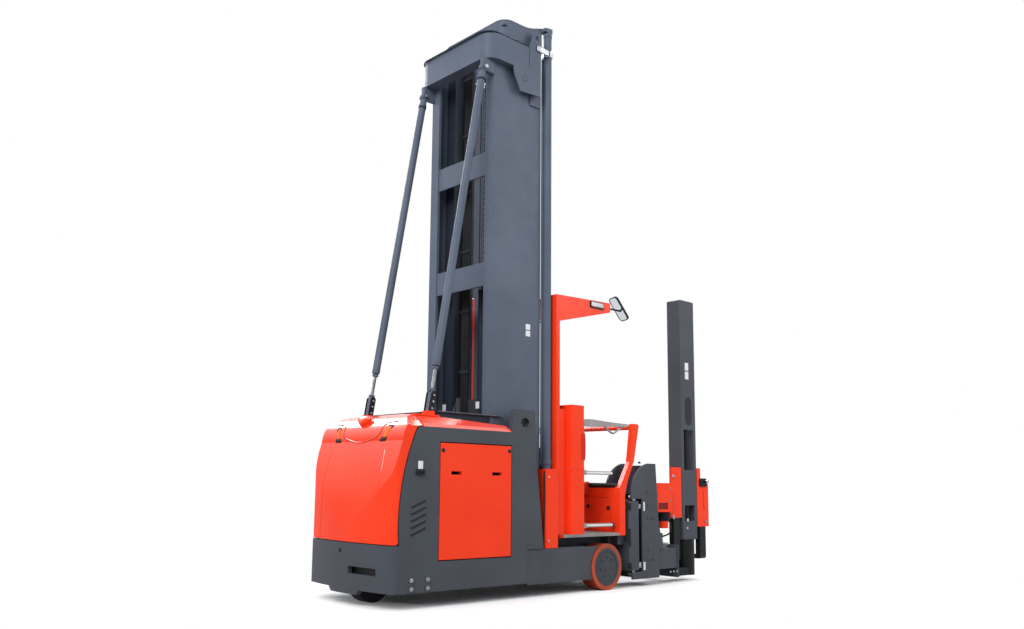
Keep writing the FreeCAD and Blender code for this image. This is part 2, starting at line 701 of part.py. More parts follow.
def stage_cap():
    """Head of the moving stage: a U-shaped band that rises to the two ears on the lift rods."""
    z0 = stage_cap_z0
    z1 = stage_cap_z1
    x_ear = barrel_x - 60
    x_end = barrel_x + 40
    y = mast_half_w + 10
    band = u_band(y, stage_x0 - 50, x_end, 12, z0, z1, 110)
    band = band.cut(box(x_ear, x_end + 1, -y - 1, y + 1, z0 - 1, z1 - stage_ear_t))
    shelf = box(stage_x0 - 38, stage_x1, -mast_half_w + 2, -stage_inner_w, stage_top, stage_top + 12)
    ear = box(x_ear, x_end, -mast_half_w - 52, -mast_half_w + 20, z1 - stage_ear_t, z1)
    whole = fuse([band, shelf, mirrored(shelf), ear, mirrored(ear)])
    rear_z = z0 + stage_cap_rear
    half_run = 190.0
    half_rise = (z1 - rear_z) / 2
    turn_x = mast_front_x - 68
    start = (turn_x - half_run, -half_w, rear_z)
    turn = (turn_x, -half_w, rear_z + half_rise)
    end = (turn_x + half_run, -half_w, z1)
    low_bend = (turn_x - half_run / 2, -half_w, rear_z + half_rise / 4)
    high_bend = (turn_x + half_run / 2, -half_w, z1 - half_rise / 4)
    over = (end[0], -half_w, z1 + 20)
    over_rear = (stage_x0 - 60, -half_w, z1 + 20)
    rear = (stage_x0 - 60, -half_w, rear_z)
    above = wire_face([arc(start, low_bend, turn), arc(turn, high_bend, end), line(end, over),
                       line(over, over_rear), line(over_rear, rear), line(rear, start)])
    return whole.cut(above.extrude(V(0, truck_width, 0)))


def lift_rod():
    """Right lift rod, from inside its barrel to the moving stage's ear."""
    z0 = barrel_bottom + 70
    top = stage_cap_z1 - stage_ear_t
    return Part.makeCylinder(rod_r, top - z0, V(barrel_x, -barrel_y, z0))


def chain_cylinder():
    """Cab lift cylinder standing on the moving stage's lowest tie, bored for its rod."""
    z0 = stage_bottom + 40
    foot = box(stage_x0 + stage_flange, chain_x + 60, -60, 60, stage_bottom, z0)
    barrel = Part.makeCylinder(50, chain_barrel, V(chain_x, 0, z0))
    bore = Part.makeCylinder(30 + run_fit, chain_barrel, V(chain_x, 0, z0 + 60))
    return fuse([foot, barrel]).cut(bore)


def chain_rod():
    """Rod of the cab lift cylinder with its chain sheave."""
    z0 = stage_bottom + 110
    z1 = stage_bottom + 40 + chain_barrel + 60
    rod_ = Part.makeCylinder(30, z1 - z0, V(chain_x, 0, z0))
    yoke = box(chain_x - 40, chain_x + 40, -70, 70, z1, z1 + 30)
    sheave = disc_y(chain_x, z1 + 90, -55, 55, 70)
    return fuse([rod_, yoke, sheave])


# ---------------------------------------------------------------- cab
def cab_mast_carriage():
    """Roller plates that run in the moving stage, and the beams that carry the cab."""
    y1 = stage_inner_w - clear
    plate_r = box(stage_x0 + 60, cab_rear_x - 30, -y1, -y1 + 24, cab_bottom + 60, box_top + 60)
    beams = []
    for z in (cab_bottom + 60, 1080.0, box_top - 40):
        beams.append(box(cab_rear_x - 60, cab_rear_x - 30, -y1 + 24, y1 - 24, z, z + 100))
    return fuse([plate_r, mirrored(plate_r)] + beams)


def mast_rollers():
    """Rollers of the cab's carriage, between the channel flanges."""
    parts = []
    y0 = stage_inner_w - clear
    y1 = stage_half_w - stage_wall - 4
    mid = (stage_x0 + stage_x1) / 2
    radius = (stage_x1 - stage_x0) / 2 - stage_flange - seat_gap
    for z in (cab_bottom + 180, box_top - 60):
        parts.append(disc_y(mid, z, y0, y1, radius))
        parts.append(disc_y(mid, z, -y1, -y0, radius))
    return Part.makeCompound(parts)


def cab_floor():
    """Cab floor with its sills."""
    return box(cab_rear_x, cab_front_x - 40, -half_w, half_w, cab_bottom, cab_bottom + cab_floor_t)


def cab_rear_wall():
    """Wall between the cab's rear posts, with its sill and the ledge that carries the seat."""
    y = cab_post_y - cab_post_w
    low = box(cab_rear_x - 30, cab_rear_x, -y, y, cab_bottom, 1240)
    sill = box(cab_rear_x - 30, cab_rear_x, -half_w, half_w, cab_bottom, cab_bottom + cab_floor_t)
    shelf = box(cab_rear_x, cab_rear_x + seat_depth - 20, -190, 190, seat_z - 20, seat_z - seat_gap)
    rib = prism_y([(cab_rear_x, seat_z - 200), (cab_rear_x + seat_depth - 70, seat_z - 20),
                   (cab_rear_x, seat_z - 20)], -12, 12)
    return fuse([low, sill, shelf, rib])


def cab_rear_post():
    """Right rear post, from the sill to the overhead guard."""
    y0 = -cab_post_y
    return box(cab_post_x, cab_rear_x, y0, y0 + cab_post_w, cab_bottom + cab_floor_t, guard_root)


def cab_side_box():
    """Right console box beside the entrance, with rounded upright edges."""
    body = box(box_x0, box_x1, -half_w, -half_w + box_depth, cab_bottom + cab_floor_t, box_top)
    edges = edges_along(body, V(0, 0, 1), lambda c: c.y < -half_w + 1)
    body = body.makeFillet(24, edges)
    back = box(cab_rear_x, box_x0, -half_w + 60, -half_w + 60 + 30, cab_bottom + cab_floor_t, box_top - 40)
    return fuse([body, back])


def overhead_guard():
    """Two tapered side arms and the roof plate between them."""
    y0 = -cab_post_y
    arm = prism_y([(cab_post_x, guard_root), (cab_rear_x, guard_root), (guard_front_x, guard_top - guard_tip),
                   (guard_front_x, guard_top), (cab_post_x, guard_rear_top)], y0, y0 + cab_post_w)
    roof = box(cab_post_x + 20, guard_front_x - 30, y0 + cab_post_w, -y0 - cab_post_w,
               guard_rear_top - 32, guard_rear_top - 12)
    return fuse([arm, mirrored(arm), roof])


def mirror():
    """Right rear-view mirror, leaning back at its top, on a stalk ahead of the guard."""
    x = guard_front_x + 190
    y = -cab_post_y + 31
    z = guard_top - 18
    stalk_z = guard_top - guard_tip / 2
    stalk = rod((guard_front_x, y, stalk_z), (x + 17, y, stalk_z), 9)
    glass = box(x - 8, x + 8, y - 75, y + 75, z - 125, z + 125)
    glass = glass.makeFillet(38, edges_along(glass, V(1, 0, 0)))
    glass.rotate(V(x, y, z), V(0, 1, 0), -33)
    glass.rotate(V(x, y, z), V(0, 0, 1), -mirror_yaw)
    glass.translate(V(0, mirror_in, 0))
    return fuse([stalk, glass])


def cab_front_wall():
    """Low front wall of the cab, between the front posts."""
    z0 = cab_bottom
    y = half_w - cab_front_t
    return box(cab_front_x - 40, cab_front_x, -y, y, z0, z0 + cab_front_h)


def cab_front_frame():
    """Front posts that lean forward, with the hand rail between their tops."""
    z0 = cab_bottom
    z1 = z0 + cab_front_h
    outline = [
        (cab_front_x - 40, z0), (cab_front_x + 40, z0), (cab_front_x + 40, z1 - 80),
        (cab_front_x + 85, z1 + 60), (cab_front_x + 175, z1 + 230), (rail_x + 48, rail_z + 20),
        (rail_x + 30, rail_z + 32), (rail_x - 40, rail_z + 32), (cab_front_x + 110, z1 + 220),
        (cab_front_x - 10, z1 + 20), (cab_front_x - 40, z1 - 20),
    ]
    post = prism_y(outline, skin_y, skin_y + cab_front_t)
    y = half_w - cab_front_t
    rail = rod((rail_x - 5, -y, rail_z), (rail_x - 5, y, rail_z), 22)
    return fuse([post, mirrored(post), rail])


def control_panel():
    """Operator's control desk on top of the front wall."""
    z1 = cab_bottom + cab_front_h
    outline = [(cab_front_x - 145, z1 - 60), (cab_front_x - 40, z1 - 110), (cab_front_x - 40, z1),
               (cab_front_x - 30, z1 + 22), (cab_front_x - 60, z1 + 34), (cab_front_x - 155, z1)]
    return prism_y(outline, -200, 200)


def pad(x0, x1, half_y, z0, z1, radius):
    """Soft pad with round corners in plan and a softened top."""
    block = box(x0, x1, -half_y, half_y, z0, z1)
    block = block.makeFillet(radius, edges_along(block, V(0, 0, 1)))
    top = [edge for edge in block.Edges if edge.BoundBox.ZMin > z1 - 0.01]
    return block.makeFillet(radius / 2, top)


def seat():
    """Seat pad on the rear wall's ledge, with the back pad above it."""
    cushion = pad(cab_rear_x + 60, cab_rear_x + seat_depth, 210, seat_z, seat_z + 70, 30)
    back = pad(cab_rear_x + seat_gap, cab_rear_x + 56, 210, seat_z + 85, seat_z + 335, 18)
    return Part.makeCompound([cushion, back])


def gate_bar(level, reach):
    """One swing-up bar of the right entrance gate, hinged beside the console box."""
    y = skin_y + gate_inset
    eye = disc_y(gate_x, level, y, y + gate_t, 20)
    bar = box(gate_x, gate_x + reach, y, y + gate_t, level - 16, level + 16)
    return fuse([eye, bar]).cut(disc_y(gate_x, level, y - 1, y + gate_t + 1, gate_pin_r + run_fit))


def gate_bracket(level):
    """Hinge bracket and pin of one gate bar."""
    y = skin_y + gate_inset
    near = box(box_x1, gate_x + 18, y - 10, y - 2, level - 22, level + 22)
    far = box(box_x1, gate_x + 18, y + gate_t + 2, y + gate_t + 10, level - 22, level + 22)
    pin = disc_y(gate_x, level, y - 10, y + gate_t + 10, gate_pin_r)
    return fuse([near, far, pin])


# ---------------------------------------------------------------- traverse unit
def traverse_frame():
    """Frame across the front of the cab, with the beams under the cab that carry it."""
    y = half_w - 6
    end = box(frame_x0, frame_x1, -y, -y + 14, frame_z0, frame_z1)
    upper = box(frame_x0, frame_x1, -y + 14, y - 14, frame_z1 - 120, frame_z1)
    lower = box(frame_x0, frame_x1, -y + 14, y - 14, frame_z0, frame_z0 + 120)
    back = box(frame_x0, frame_x0 + 14, -y + 14, y - 14, frame_z0 + 120, frame_z1 - 120)
    beam_z = cab_bottom - 86
    beam = box(cab_rear_x + 120, frame_x0, -330, -250, beam_z, cab_bottom)
    cross = box(cab_front_x - 40, frame_x0, -250, 250, beam_z, cab_bottom)
    link = box(cab_front_x - 40, frame_x0, -420, -330, beam_z, cab_bottom)
    riser = box(cab_front_x, frame_x0, -500, -420, beam_z, frame_z1 - 20)
    parts = [upper, lower, back, cross]
    for piece in (end, beam, link, riser):
        parts += [piece, mirrored(piece)]
    return fuse(parts)


def traverse_rails():
    """Upper and lower rails and the toothed rack on the traverse frame."""
    y = half_w - 8
    x1 = frame_x1 + rail_reach
    upper = box(frame_x1, x1, -y, y, frame_z1 - 70, frame_z1 - 30)
    lower = box(frame_x1, x1, -y, y, frame_z0 + 30, frame_z0 + 70)
    rack = box(frame_x0 + 14, frame_x1 - 30, -y + 20, y - 20, 430, 470)
    return Part.makeCompound([upper, lower, rack])


def carriage_side():
    """Right side plate of the traverse carriage: a C that hooks round the frame."""
    x_in = frame_x1 + rail_reach + 2 * clear
    z_low = frame_z0 - 15
    z_high = frame_z1 + 20
    y = -half_w
    hook = (frame_x0 + 34, y, z_high)
    bend = (x_in + 90, y, carriage_top)
    edges = [
        arc(hook, (frame_x0 + 110, y, carriage_top - 95), bend),
        line(bend, (carriage_x1, y, carriage_top)),
        line((carriage_x1, y, carriage_top), (carriage_x1 + 42, y, 560)),
        line((carriage_x1 + 42, y, 560), (carriage_x1 + 110, y, foot_z1 + 20)),
        line((carriage_x1 + 110, y, foot_z1 + 20), (carriage_x1 + 110, y, foot_z1)),
        line((carriage_x1 + 110, y, foot_z1), (carriage_x1 + 42, y, foot_z1)),
        line((carriage_x1 + 42, y, foot_z1), (carriage_x1 + 42, y, carriage_bottom)),
        line((carriage_x1 + 42, y, carriage_bottom), (frame_x0 + 40, y, carriage_bottom)),
        line((frame_x0 + 40, y, carriage_bottom), (frame_x0 + 40, y, z_low)),
        line((frame_x0 + 40, y, z_low), (x_in, y, z_low)),
        line((x_in, y, z_low), (x_in, y, z_high)),
        line((x_in, y, z_high), hook),
    ]
    return wire_face(edges).extrude(V(0, 16, 0))


def traverse_carriage():
    """Both side plates, with the box beam above, the front plate and the lower tie."""
    right = carriage_side()
    left = right.copy()
    left.translate(V(0, carriage_w - 16, 0))
    y0 = -half_w + 16
    y1 = -half_w + carriage_w - 16
    x_in = frame_x1 + rail_reach + 2 * clear
    top = box(x_in + 30, carriage_x1 - 8, y0, y1, frame_z1 + 60, carriage_top - 20)
    front = box(carriage_x1 - 20, carriage_x1, y0, y1, foot_z1, frame_z1 + 60)
    tie = box(x_in + 30, carriage_x1 + 30, y0, y1, carriage_bottom, foot_z0)
    return fuse([right, left, top, front, tie])


def guide_rollers():
    """Rollers above the upper beam and below the lower beam, on the carriage plates."""
    parts = []
    for y in (-half_w + 16, -half_w + carriage_w - 66):
        parts.append(disc_y(frame_x0 + 90, frame_z1 + seat_gap + 26, y, y + 50, 26))
        parts.append(disc_y(frame_x0 + 75, frame_z0 - 24 - seat_gap, y, y + 50, 24))
    return Part.makeCompound(parts)


def foot_beam():
    """Foot that reaches forward under the swivel column, with its end plate."""
    y0 = -half_w + 10
    y1 = -half_w + carriage_w - 10
    x0 = carriage_x1 + 42
    beam = box(x0, foot_x1, y0, y1, foot_z0, foot_z1)
    end = box(foot_x1, foot_x1 + 14, y0 - 10, y1 + 10, 52, foot_z1 + 30)
    return fuse([beam, end])


def pivot_post():
    """Black pivot under the swivel column, on a low plate from the foot's end."""
    post = Part.makeCylinder(pivot_r, column_bottom - seat_gap - 52, V(column_x, column_y, 52))
    link = box(foot_x1 + 14, column_x, column_y - 85, column_y + 85, 52, 128)
    return fuse([post, link])


def valve_block():
    """Valve block with two solenoids on top of the foot."""
    y0 = column_y - 70
    base = box(foot_x1 - 210, foot_x1 - 30, y0, y0 + 110, foot_z1, foot_z1 + 46)
    parts = [base]
    for k in range(3):
        x = foot_x1 - 180 + 55 * k
        parts.append(Part.makeCylinder(16, 44, V(x, y0 + 50, foot_z1 + 46)))
    return fuse(parts)


def swivel_drive():
    """Bracket on the carriage that holds the swivel motor, and the motor's end cap."""
    y0 = skin_y + 22
    body = box(carriage_x1, swivel_motor_x + 65, y0, y0 + 190, 674, 938)
    body = body.cut(box(carriage_x1 + 72, swivel_motor_x + 5, y0 - 1, y0 + 12, 700, 760))
    cap = Part.makeCylinder(58, 69, V(swivel_motor_x, swivel_motor_y, 518))
    return Part.makeCompound([body, cap])


def swivel_motor():
    """Black motor below the bracket."""
    return Part.makeCylinder(63, 87, V(swivel_motor_x, swivel_motor_y, 587))


# ---------------------------------------------------------------- swivel column and forks
def column():
    """Swivelling column: a channel open to the forks, with windows in its back."""
    x0 = column_x - column_w / 2
    x1 = column_x + column_w / 2
    y0 = column_y - column_d / 2
    y1 = column_y + column_d / 2
    bar = box(x0, x1, y0, y1, column_bottom, column_top)
    inside = box(x0 + column_wall, x1 - column_wall, y0 + 15, y1 + 1, column_bottom + 30, column_top - 20)
    bar = bar.cut(inside)
    for z0, z1 in ((540, 733), (1085, 1490)):
        bar = bar.cut(box(x0 + 45, x1 - 38, y0 - 1, y0 + 16, z0, z1))
    for x in (x0, x1):
        bar = round_corner(bar, x, column_top, 0.9 * column_wall)
    return bar


def fork_cylinder():
    """Lift cylinder inside the column."""
    y = column_y - column_d / 2 + 42
    return Part.makeCylinder(24, 1200, V(column_x, y, column_bottom + 30))


def fork_carrier():
    """Carriage that wraps the column and carries the forks, with its guide block inside the column."""
    x_in0 = column_x - column_w / 2 - carrier_gap
    x_in1 = column_x + column_w / 2 + carrier_gap
    x0 = column_x - carrier_half_w
    x1 = column_x + carrier_half_w
    y0 = column_y - column_d / 2
    y1 = column_y + column_d / 2 + carrier_gap
    left_z0 = carrier_z0 + 93
    cheek_top = carrier_z1 + 157
    left = box(x0, x_in0, y0, y1, left_z0, carrier_z1)
    left_cheek = box(x_in0 - 150, x_in0, y0, y0 + 24, carrier_z1, cheek_top)
    right = box(x_in1, x1, y0, y1, carrier_z0, carrier_z1)
    right_cheek = box(x_in1, x_in1 + 60, y0, y0 + 24, carrier_z1, cheek_top)
    back = box(x0, x1, y1, y1 + 26, left_z0, carrier_z1)
    guide_w = column_w / 2 - column_wall - seat_gap
    guide = box(column_x - guide_w, column_x + guide_w, y1 - 70, y1, 660, 900)
    return fuse([back, left, left_cheek, right, right_cheek, guide])


def fork(side):
    """One fork: a shank under the carriage and a tapered blade."""
    x = column_x + side * fork_half_span
    y0 = column_y - column_d / 2
    top = carrier_z0 + 93 if side < 0 else carrier_z0
    shank = box(x - fork_w / 2, x + fork_w / 2, y0, y0 + 55, fork_z, top)
    blade = prism_x([(y0, fork_z), (y0 + fork_length, fork_z), (y0 + fork_length, fork_z + 14),
                     (y0 + 0.55 * fork_length, fork_z + fork_t), (y0, fork_z + fork_t)],
                    x - fork_w / 2, x + fork_w / 2)
    whole = fuse([shank, blade])
    heel = edges_along(whole, V(1, 0, 0), lambda c: c.y < y0 + 1 and c.z < fork_z + 1)
    return whole.makeFillet(26, heel)


# ---------------------------------------------------------------- stays
def stay_points():
    """Upper and lower end of the right stay."""
    return (stay_head_x, -stay_y, stay_head_z), (stay_foot_x, -stay_y, deck_top + 32)


def stay():
    """Right stay: tube, threaded end and clevis, from the mast's head to the bridge."""
    head, foot = stay_points()
    a = V(*head)
    b = V(*foot)
    way = (b - a).normalize()
    length = (b - a).Length
    tube = Part.makeCylinder(stay_r, length - 470, a + way * 90, way)
    neck = Part.makeCylinder(20, 90, a, way)
    thread = Part.makeCylinder(13, 220, a + way * (length - 380), way)
    clevis = Part.makeCylinder(26, 160, a + way * (length - 160), way)
    return fuse([tube, neck, thread, clevis])


# ---------------------------------------------------------------- write every node
def main():
    """Build all the nodes."""
    os.makedirs("parts", exist_ok=True)
    nodes = {
        "chassis_base": chassis_base(),
        "rear_skirt": rear_skirt(),
        "side_panels": pair(side_panel()),
        "battery_door_right": battery_door(),
        "battery_door_left": mirrored(battery_door()),
        "deck_cover": deck_cover(),
        "deck_trim": pair(deck_trim()),
        "stay_bridge": stay_bridge(),
        "hood": hood(),
        "support_legs": pair(support_leg()),
        "load_hub_right": load_wheel_hub(),
        "load_hub_left": mirrored(load_wheel_hub()),
        "load_tyre_right": load_wheel_tyre(),
        "load_tyre_left": mirrored(load_wheel_tyre()),
        "drive_turntable": drive_turntable(),
        "drive_wheel": drive_wheel(),
        "drive_motor": drive_motor(),
        "battery": battery(),
        "fixed_mast": fixed_mast(),
        "mast_cap": mast_cap(),
        "lift_barrels": pair(lift_barrel()),
        "cylinder_feet": pair(cylinder_foot()),
        "stays": pair(stay()),
        "moving_stage": moving_stage(),
        "stage_cap": stage_cap(),
        "lift_rods": pair(lift_rod()),
        "chain_cylinder": chain_cylinder(),
        "chain_rod": chain_rod(),
        "cab_mast_carriage": cab_mast_carriage(),
        "mast_rollers": mast_rollers(),
        "cab_floor": cab_floor(),
        "cab_rear_wall": cab_rear_wall(),
        "cab_rear_posts": pair(cab_rear_post()),
        "cab_side_boxes": pair(cab_side_box()),
        "overhead_guard": overhead_guard(),
        "mirrors": pair(mirror()),
        "cab_front_wall": cab_front_wall(),
        "cab_front_frame": cab_front_frame(),
        "control_panel": control_panel(),
        "seat": seat(),
        "gate_brackets": pair(Part.makeCompound([gate_bracket(z) for z in gate_levels])),
        "traverse_frame": traverse_frame(),
        "traverse_rails": traverse_rails(),
        "traverse_carriage": traverse_carriage(),
        "guide_rollers": guide_rollers(),
        "foot_beam": foot_beam(),
        "pivot_post": pivot_post(),
        "valve_block": valve_block(),
        "swivel_drive": swivel_drive(),
        "swivel_motor": swivel_motor(),
        "column": column(),
        "fork_cylinder": fork_cylinder(),
        "fork_carrier": fork_carrier(),
        "forks": Part.makeCompound([fork(-1), fork(1)]),
    }
    for name, level, reach in zip(("low", "mid", "top"), gate_levels, gate_reach):
        bar = gate_bar(level, reach)
        nodes["gate_bar_" + name + "_right"] = bar
        nodes["gate_bar_" + name + "_left"] = mirrored(bar)
    for node, shape in nodes.items():
        save(node, shape)


main()
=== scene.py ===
"""Looks of a very narrow aisle forklift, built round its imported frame.

The frame gives every place: x forwards to the forks, y to the truck's left, z up, in metres.
Pieces are surfaces worked out with numpy; finishes are node materials on Object coordinates.
Most pieces are drawn for the truck's right side and mirrored to its left.
"""
import json
import math

import bpy
import numpy as np
from mathutils import Matrix, Vector
from mathutils.bvhtree import BVHTree


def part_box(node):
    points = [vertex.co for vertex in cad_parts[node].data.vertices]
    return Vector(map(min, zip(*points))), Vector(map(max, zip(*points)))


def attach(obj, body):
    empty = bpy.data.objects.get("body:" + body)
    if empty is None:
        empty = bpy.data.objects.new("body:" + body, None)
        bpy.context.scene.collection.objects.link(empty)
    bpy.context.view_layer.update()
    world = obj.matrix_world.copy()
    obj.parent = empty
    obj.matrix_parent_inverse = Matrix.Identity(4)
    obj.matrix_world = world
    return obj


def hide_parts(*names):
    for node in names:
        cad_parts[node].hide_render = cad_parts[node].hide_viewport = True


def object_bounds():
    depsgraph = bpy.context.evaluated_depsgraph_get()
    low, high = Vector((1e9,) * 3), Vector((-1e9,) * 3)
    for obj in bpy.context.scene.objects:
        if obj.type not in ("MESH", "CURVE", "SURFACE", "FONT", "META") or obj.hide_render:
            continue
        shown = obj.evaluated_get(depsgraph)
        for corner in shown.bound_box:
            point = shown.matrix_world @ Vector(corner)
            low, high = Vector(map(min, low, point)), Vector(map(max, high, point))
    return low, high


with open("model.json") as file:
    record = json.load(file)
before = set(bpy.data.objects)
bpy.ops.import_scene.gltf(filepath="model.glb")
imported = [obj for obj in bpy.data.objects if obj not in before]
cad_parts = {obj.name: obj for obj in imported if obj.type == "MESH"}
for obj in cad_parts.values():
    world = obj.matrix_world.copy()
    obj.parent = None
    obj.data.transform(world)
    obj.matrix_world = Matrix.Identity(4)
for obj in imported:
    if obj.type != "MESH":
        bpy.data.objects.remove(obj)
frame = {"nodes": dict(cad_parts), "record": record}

cad_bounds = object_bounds()
nodes = frame["nodes"]
record = frame["record"]

AHEAD, OUT, UP = (1, 0, 0), (0, -1, 0), (0, 0, 1)     # forwards, outwards on the right side, upwards
REAR = (-1, 0, 0)


def corner(node):
    """Lowest and highest corner of a CAD node, as two arrays."""
    low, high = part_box(node)
    return np.array(low), np.array(high)


def mount_place(name):
    """Place of one of the record's mounts."""
    return np.array(next(mount["pos_m"] for mount in record["mounts"] if mount["name"] == name))


# -------- finishes
def srgb(channels):
    """Linear colour from red, green and blue screen values of 0-255."""
    channels = np.array(channels) / 255.0
    linear = np.where(channels <= 0.04045, channels / 12.92, ((channels + 0.055) / 1.055) ** 2.4)
    return (*[float(c) for c in linear], 1.0)


class Finish:
    """A node material with small helpers for wiring it."""

    def __init__(self, name):
        self.material = bpy.data.materials.new(name)
        self.material.use_nodes = True
        self.tree = self.material.node_tree
        self.shader = self.tree.nodes["Principled BSDF"]
        self.place = self.node("ShaderNodeTexCoord").outputs["Object"]

    def feed(self, socket, value):
        """Wires an output into a socket, or sets the socket to a plain value."""
        if isinstance(value, bpy.types.NodeSocket):
            self.tree.links.new(value, socket)
        else:
            socket.default_value = value

    def put(self, made, values):
        """Feeds a node's inputs by name, with _ for a space; other names are the node's own settings."""
        for key, value in values.items():
            socket = made.inputs.get(key.replace("_", " "))
            if socket is None:
                setattr(made, key, value)
            else:
                self.feed(socket, value)
        return made

    def node(self, kind, **values):
        """A new node with its inputs and settings."""
        return self.put(self.tree.nodes.new(kind), values)

    def look(self, **values):
        """Feeds the shader's inputs."""
        self.put(self.shader, values)

    def stretched(self, scale):
        """Object coordinates scaled along each axis."""
        return self.node("ShaderNodeMapping", Scale=scale, Vector=self.place).outputs["Vector"]

    def noise(self, scale, detail=4.0, roughness=0.55, stretch=None):
        """Noise value between 0 and 1 at a scale per metre."""
        place = self.stretched(stretch) if stretch else self.place
        return self.node("ShaderNodeTexNoise", Vector=place, Scale=scale, Detail=detail,
                         Roughness=roughness).outputs["Fac"]

    def ramp(self, value, stops):
        """Colour ramp through (position, colour) stops."""
        ramp = self.node("ShaderNodeValToRGB", Fac=value)
        for band, (position, colour) in zip(ramp.color_ramp.elements, stops):
            band.position = position
            band.color = colour
        return ramp.outputs["Color"]

    def spread(self, value, low, high, start=0.0, end=1.0):
        """Value mapped from start..end to low..high, held at both ends."""
        return self.node("ShaderNodeMapRange", Value=value, From_Min=start, From_Max=end,
                         To_Min=low, To_Max=high).outputs["Result"]

    def blend(self, factor, first, second):
        """Mix of two colours; each is a socket or a plain colour."""
        mix = self.node("ShaderNodeMix", data_type="RGBA")
        for k, value in ((0, factor), (6, first), (7, second)):
            self.feed(mix.inputs[k], value)
        return mix.outputs[2]

    def bumpy(self, value, depth, strength, edge):
        """Bump from a value, over normals rounded at the edges by edge metres."""
        edges = self.node("ShaderNodeBevel", samples=3, Radius=edge).outputs["Normal"]
        bump = self.node("ShaderNodeBump", Strength=strength, Distance=depth, Height=value, Normal=edges)
        self.look(Normal=bump.outputs["Normal"])

    def gloss(self, scale, detail, low, high):
        """Roughness that drifts between low and high."""
        self.look(Roughness=self.spread(self.noise(scale, detail), low, high, 0.3, 0.7))


def painted(name, colour, shade, gloss, coat, polish=1.5):
    """Sprayed paint: slow drift, faint dust, orange peel, and a clear coat thickest on faces that look up."""
    paint = Finish(name)
    colour, shade = srgb(colour), srgb(shade)
    drift = paint.noise(1.7, 3.0)
    dust = paint.noise(46.0, 5.0, 0.65)
    body = paint.blend(paint.spread(drift, 0.0, 1.0, 0.35, 0.7), colour, shade)
    speck = paint.spread(dust, 0.0, 0.16, 0.5, 0.85)
    paint.look(Base_Color=paint.blend(speck, body, shade))
    paint.gloss(9.0, 4.0, gloss, gloss + 0.12)
    paint.look(Coat_Roughness=0.16, Coat_IOR=polish, Specular_IOR_Level=0.12)
    facing = paint.node("ShaderNodeNewGeometry").outputs["Normal"]
    upward = paint.node("ShaderNodeSeparateXYZ", Vector=facing).outputs["Z"]
    paint.look(Coat_Weight=paint.spread(upward, 0.1 * coat, 6.0 * coat, 0.12, 0.6))
    paint.bumpy(paint.noise(260.0, 2.0), 0.00012, 0.5, 0.003)
    return paint.material


def steel(name, colour, shade, gloss, along):
    """Ground or plated steel with fine lines along one way."""
    metal = Finish(name)
    lines = metal.noise(60.0, 4.0, 0.6, along)
    metal.look(Base_Color=metal.ramp(lines, [(0.3, srgb(shade)), (0.7, srgb(colour))]))
    metal.gloss(14.0, 3.0, gloss, gloss + 0.14)
    metal.look(Metallic=1.0)
    metal.bumpy(lines, 0.00008, 0.4, 0.002)
    return metal.material


def moulded(name, colour, shade, gloss, grain=900.0, depth=0.0001):
    """Moulded plastic or rubber with a fine grain."""
    plastic = Finish(name)
    mottle = plastic.noise(5.0, 4.0)
    plastic.look(Base_Color=plastic.ramp(mottle, [(0.35, srgb(shade)), (0.68, srgb(colour))]))
    plastic.gloss(40.0, 3.0, gloss, gloss + 0.15)
    plastic.look(Specular_IOR_Level=0.25)
    plastic.bumpy(plastic.noise(grain, 2.0), depth, 0.6, 0.002)
    return plastic.material


orange_paint = painted("orange_paint", (253, 66, 30), (247, 58, 24), 0.26, 0.16, polish=2.5)
# darker copy of the orange paint: painted shade for faces of the cab that stand in shade
orange_painted_shade = painted("orange_painted_shade_paint", (205, 52, 22), (186, 46, 20), 0.42, 0.05)
grey_paint = painted("slate_paint", (76, 80, 87), (68, 71, 78), 0.42, 0.05)
mast_paint = painted("mast_paint", (92, 101, 117), (82, 91, 106), 0.4, 0.06)
dark_paint = painted("dark_paint", (44, 51, 64), (35, 41, 52), 0.5, 0.03)
black_paint = painted("black_paint", (30, 31, 34), (22, 23, 26), 0.42, 0.1)
pale_paint = painted("pale_grey_paint", (172, 164, 162), (150, 142, 141), 0.4, 0.06)
hub_paint = painted("wheel_disc_paint", (72, 75, 80), (60, 63, 68), 0.45, 0.08)
chrome = steel("chrome_rod", (205, 208, 212), (165, 168, 174), 0.14, (1.0, 1.0, 0.05))
zinc = steel("zinc_plated", (170, 172, 176), (120, 122, 128), 0.32, (1.0, 1.0, 0.2))
urethane = moulded("polyurethane", (184, 74, 44), (146, 62, 40), 0.45, 500.0, 0.00015)
rubber = moulded("black_rubber", (34, 34, 36), (24, 24, 26), 0.7, 700.0, 0.0002)
trim = moulded("black_plastic", (32, 33, 36), (24, 25, 28), 0.5)
mat = moulded("floor_mat", (150, 148, 146), (126, 125, 124), 0.7, 500.0, 0.0004)
cover_cloth = moulded("seat_vinyl", (40, 41, 45), (28, 29, 32), 0.55, 1400.0, 0.0003)
# darker orange: dark joints along the seams, and painted shade in the hood's pressed line and in recesses
orange_seam_and_crease_shade = painted("orange_seam_and_crease_shade_paint", (214, 44, 20), (200, 40, 18), 0.4, 0.2)
amber = moulded("amber_lens", (236, 120, 40), (214, 92, 30), 0.16, 300.0, 0.0002)
lens = moulded("pale_lens", (214, 216, 220), (180, 184, 190), 0.14, 160.0, 0.0004)
white_plate = painted("white_plate", (236, 237, 238), (222, 223, 225), 0.4, 0.1)
screen_finish = moulded("screen_glass", (26, 34, 42), (14, 18, 24), 0.08, 900.0, 0.00002)
mirror_finish = steel("mirror_glass", (214, 218, 224), (200, 205, 212), 0.04, (1.0, 1.0, 1.0))

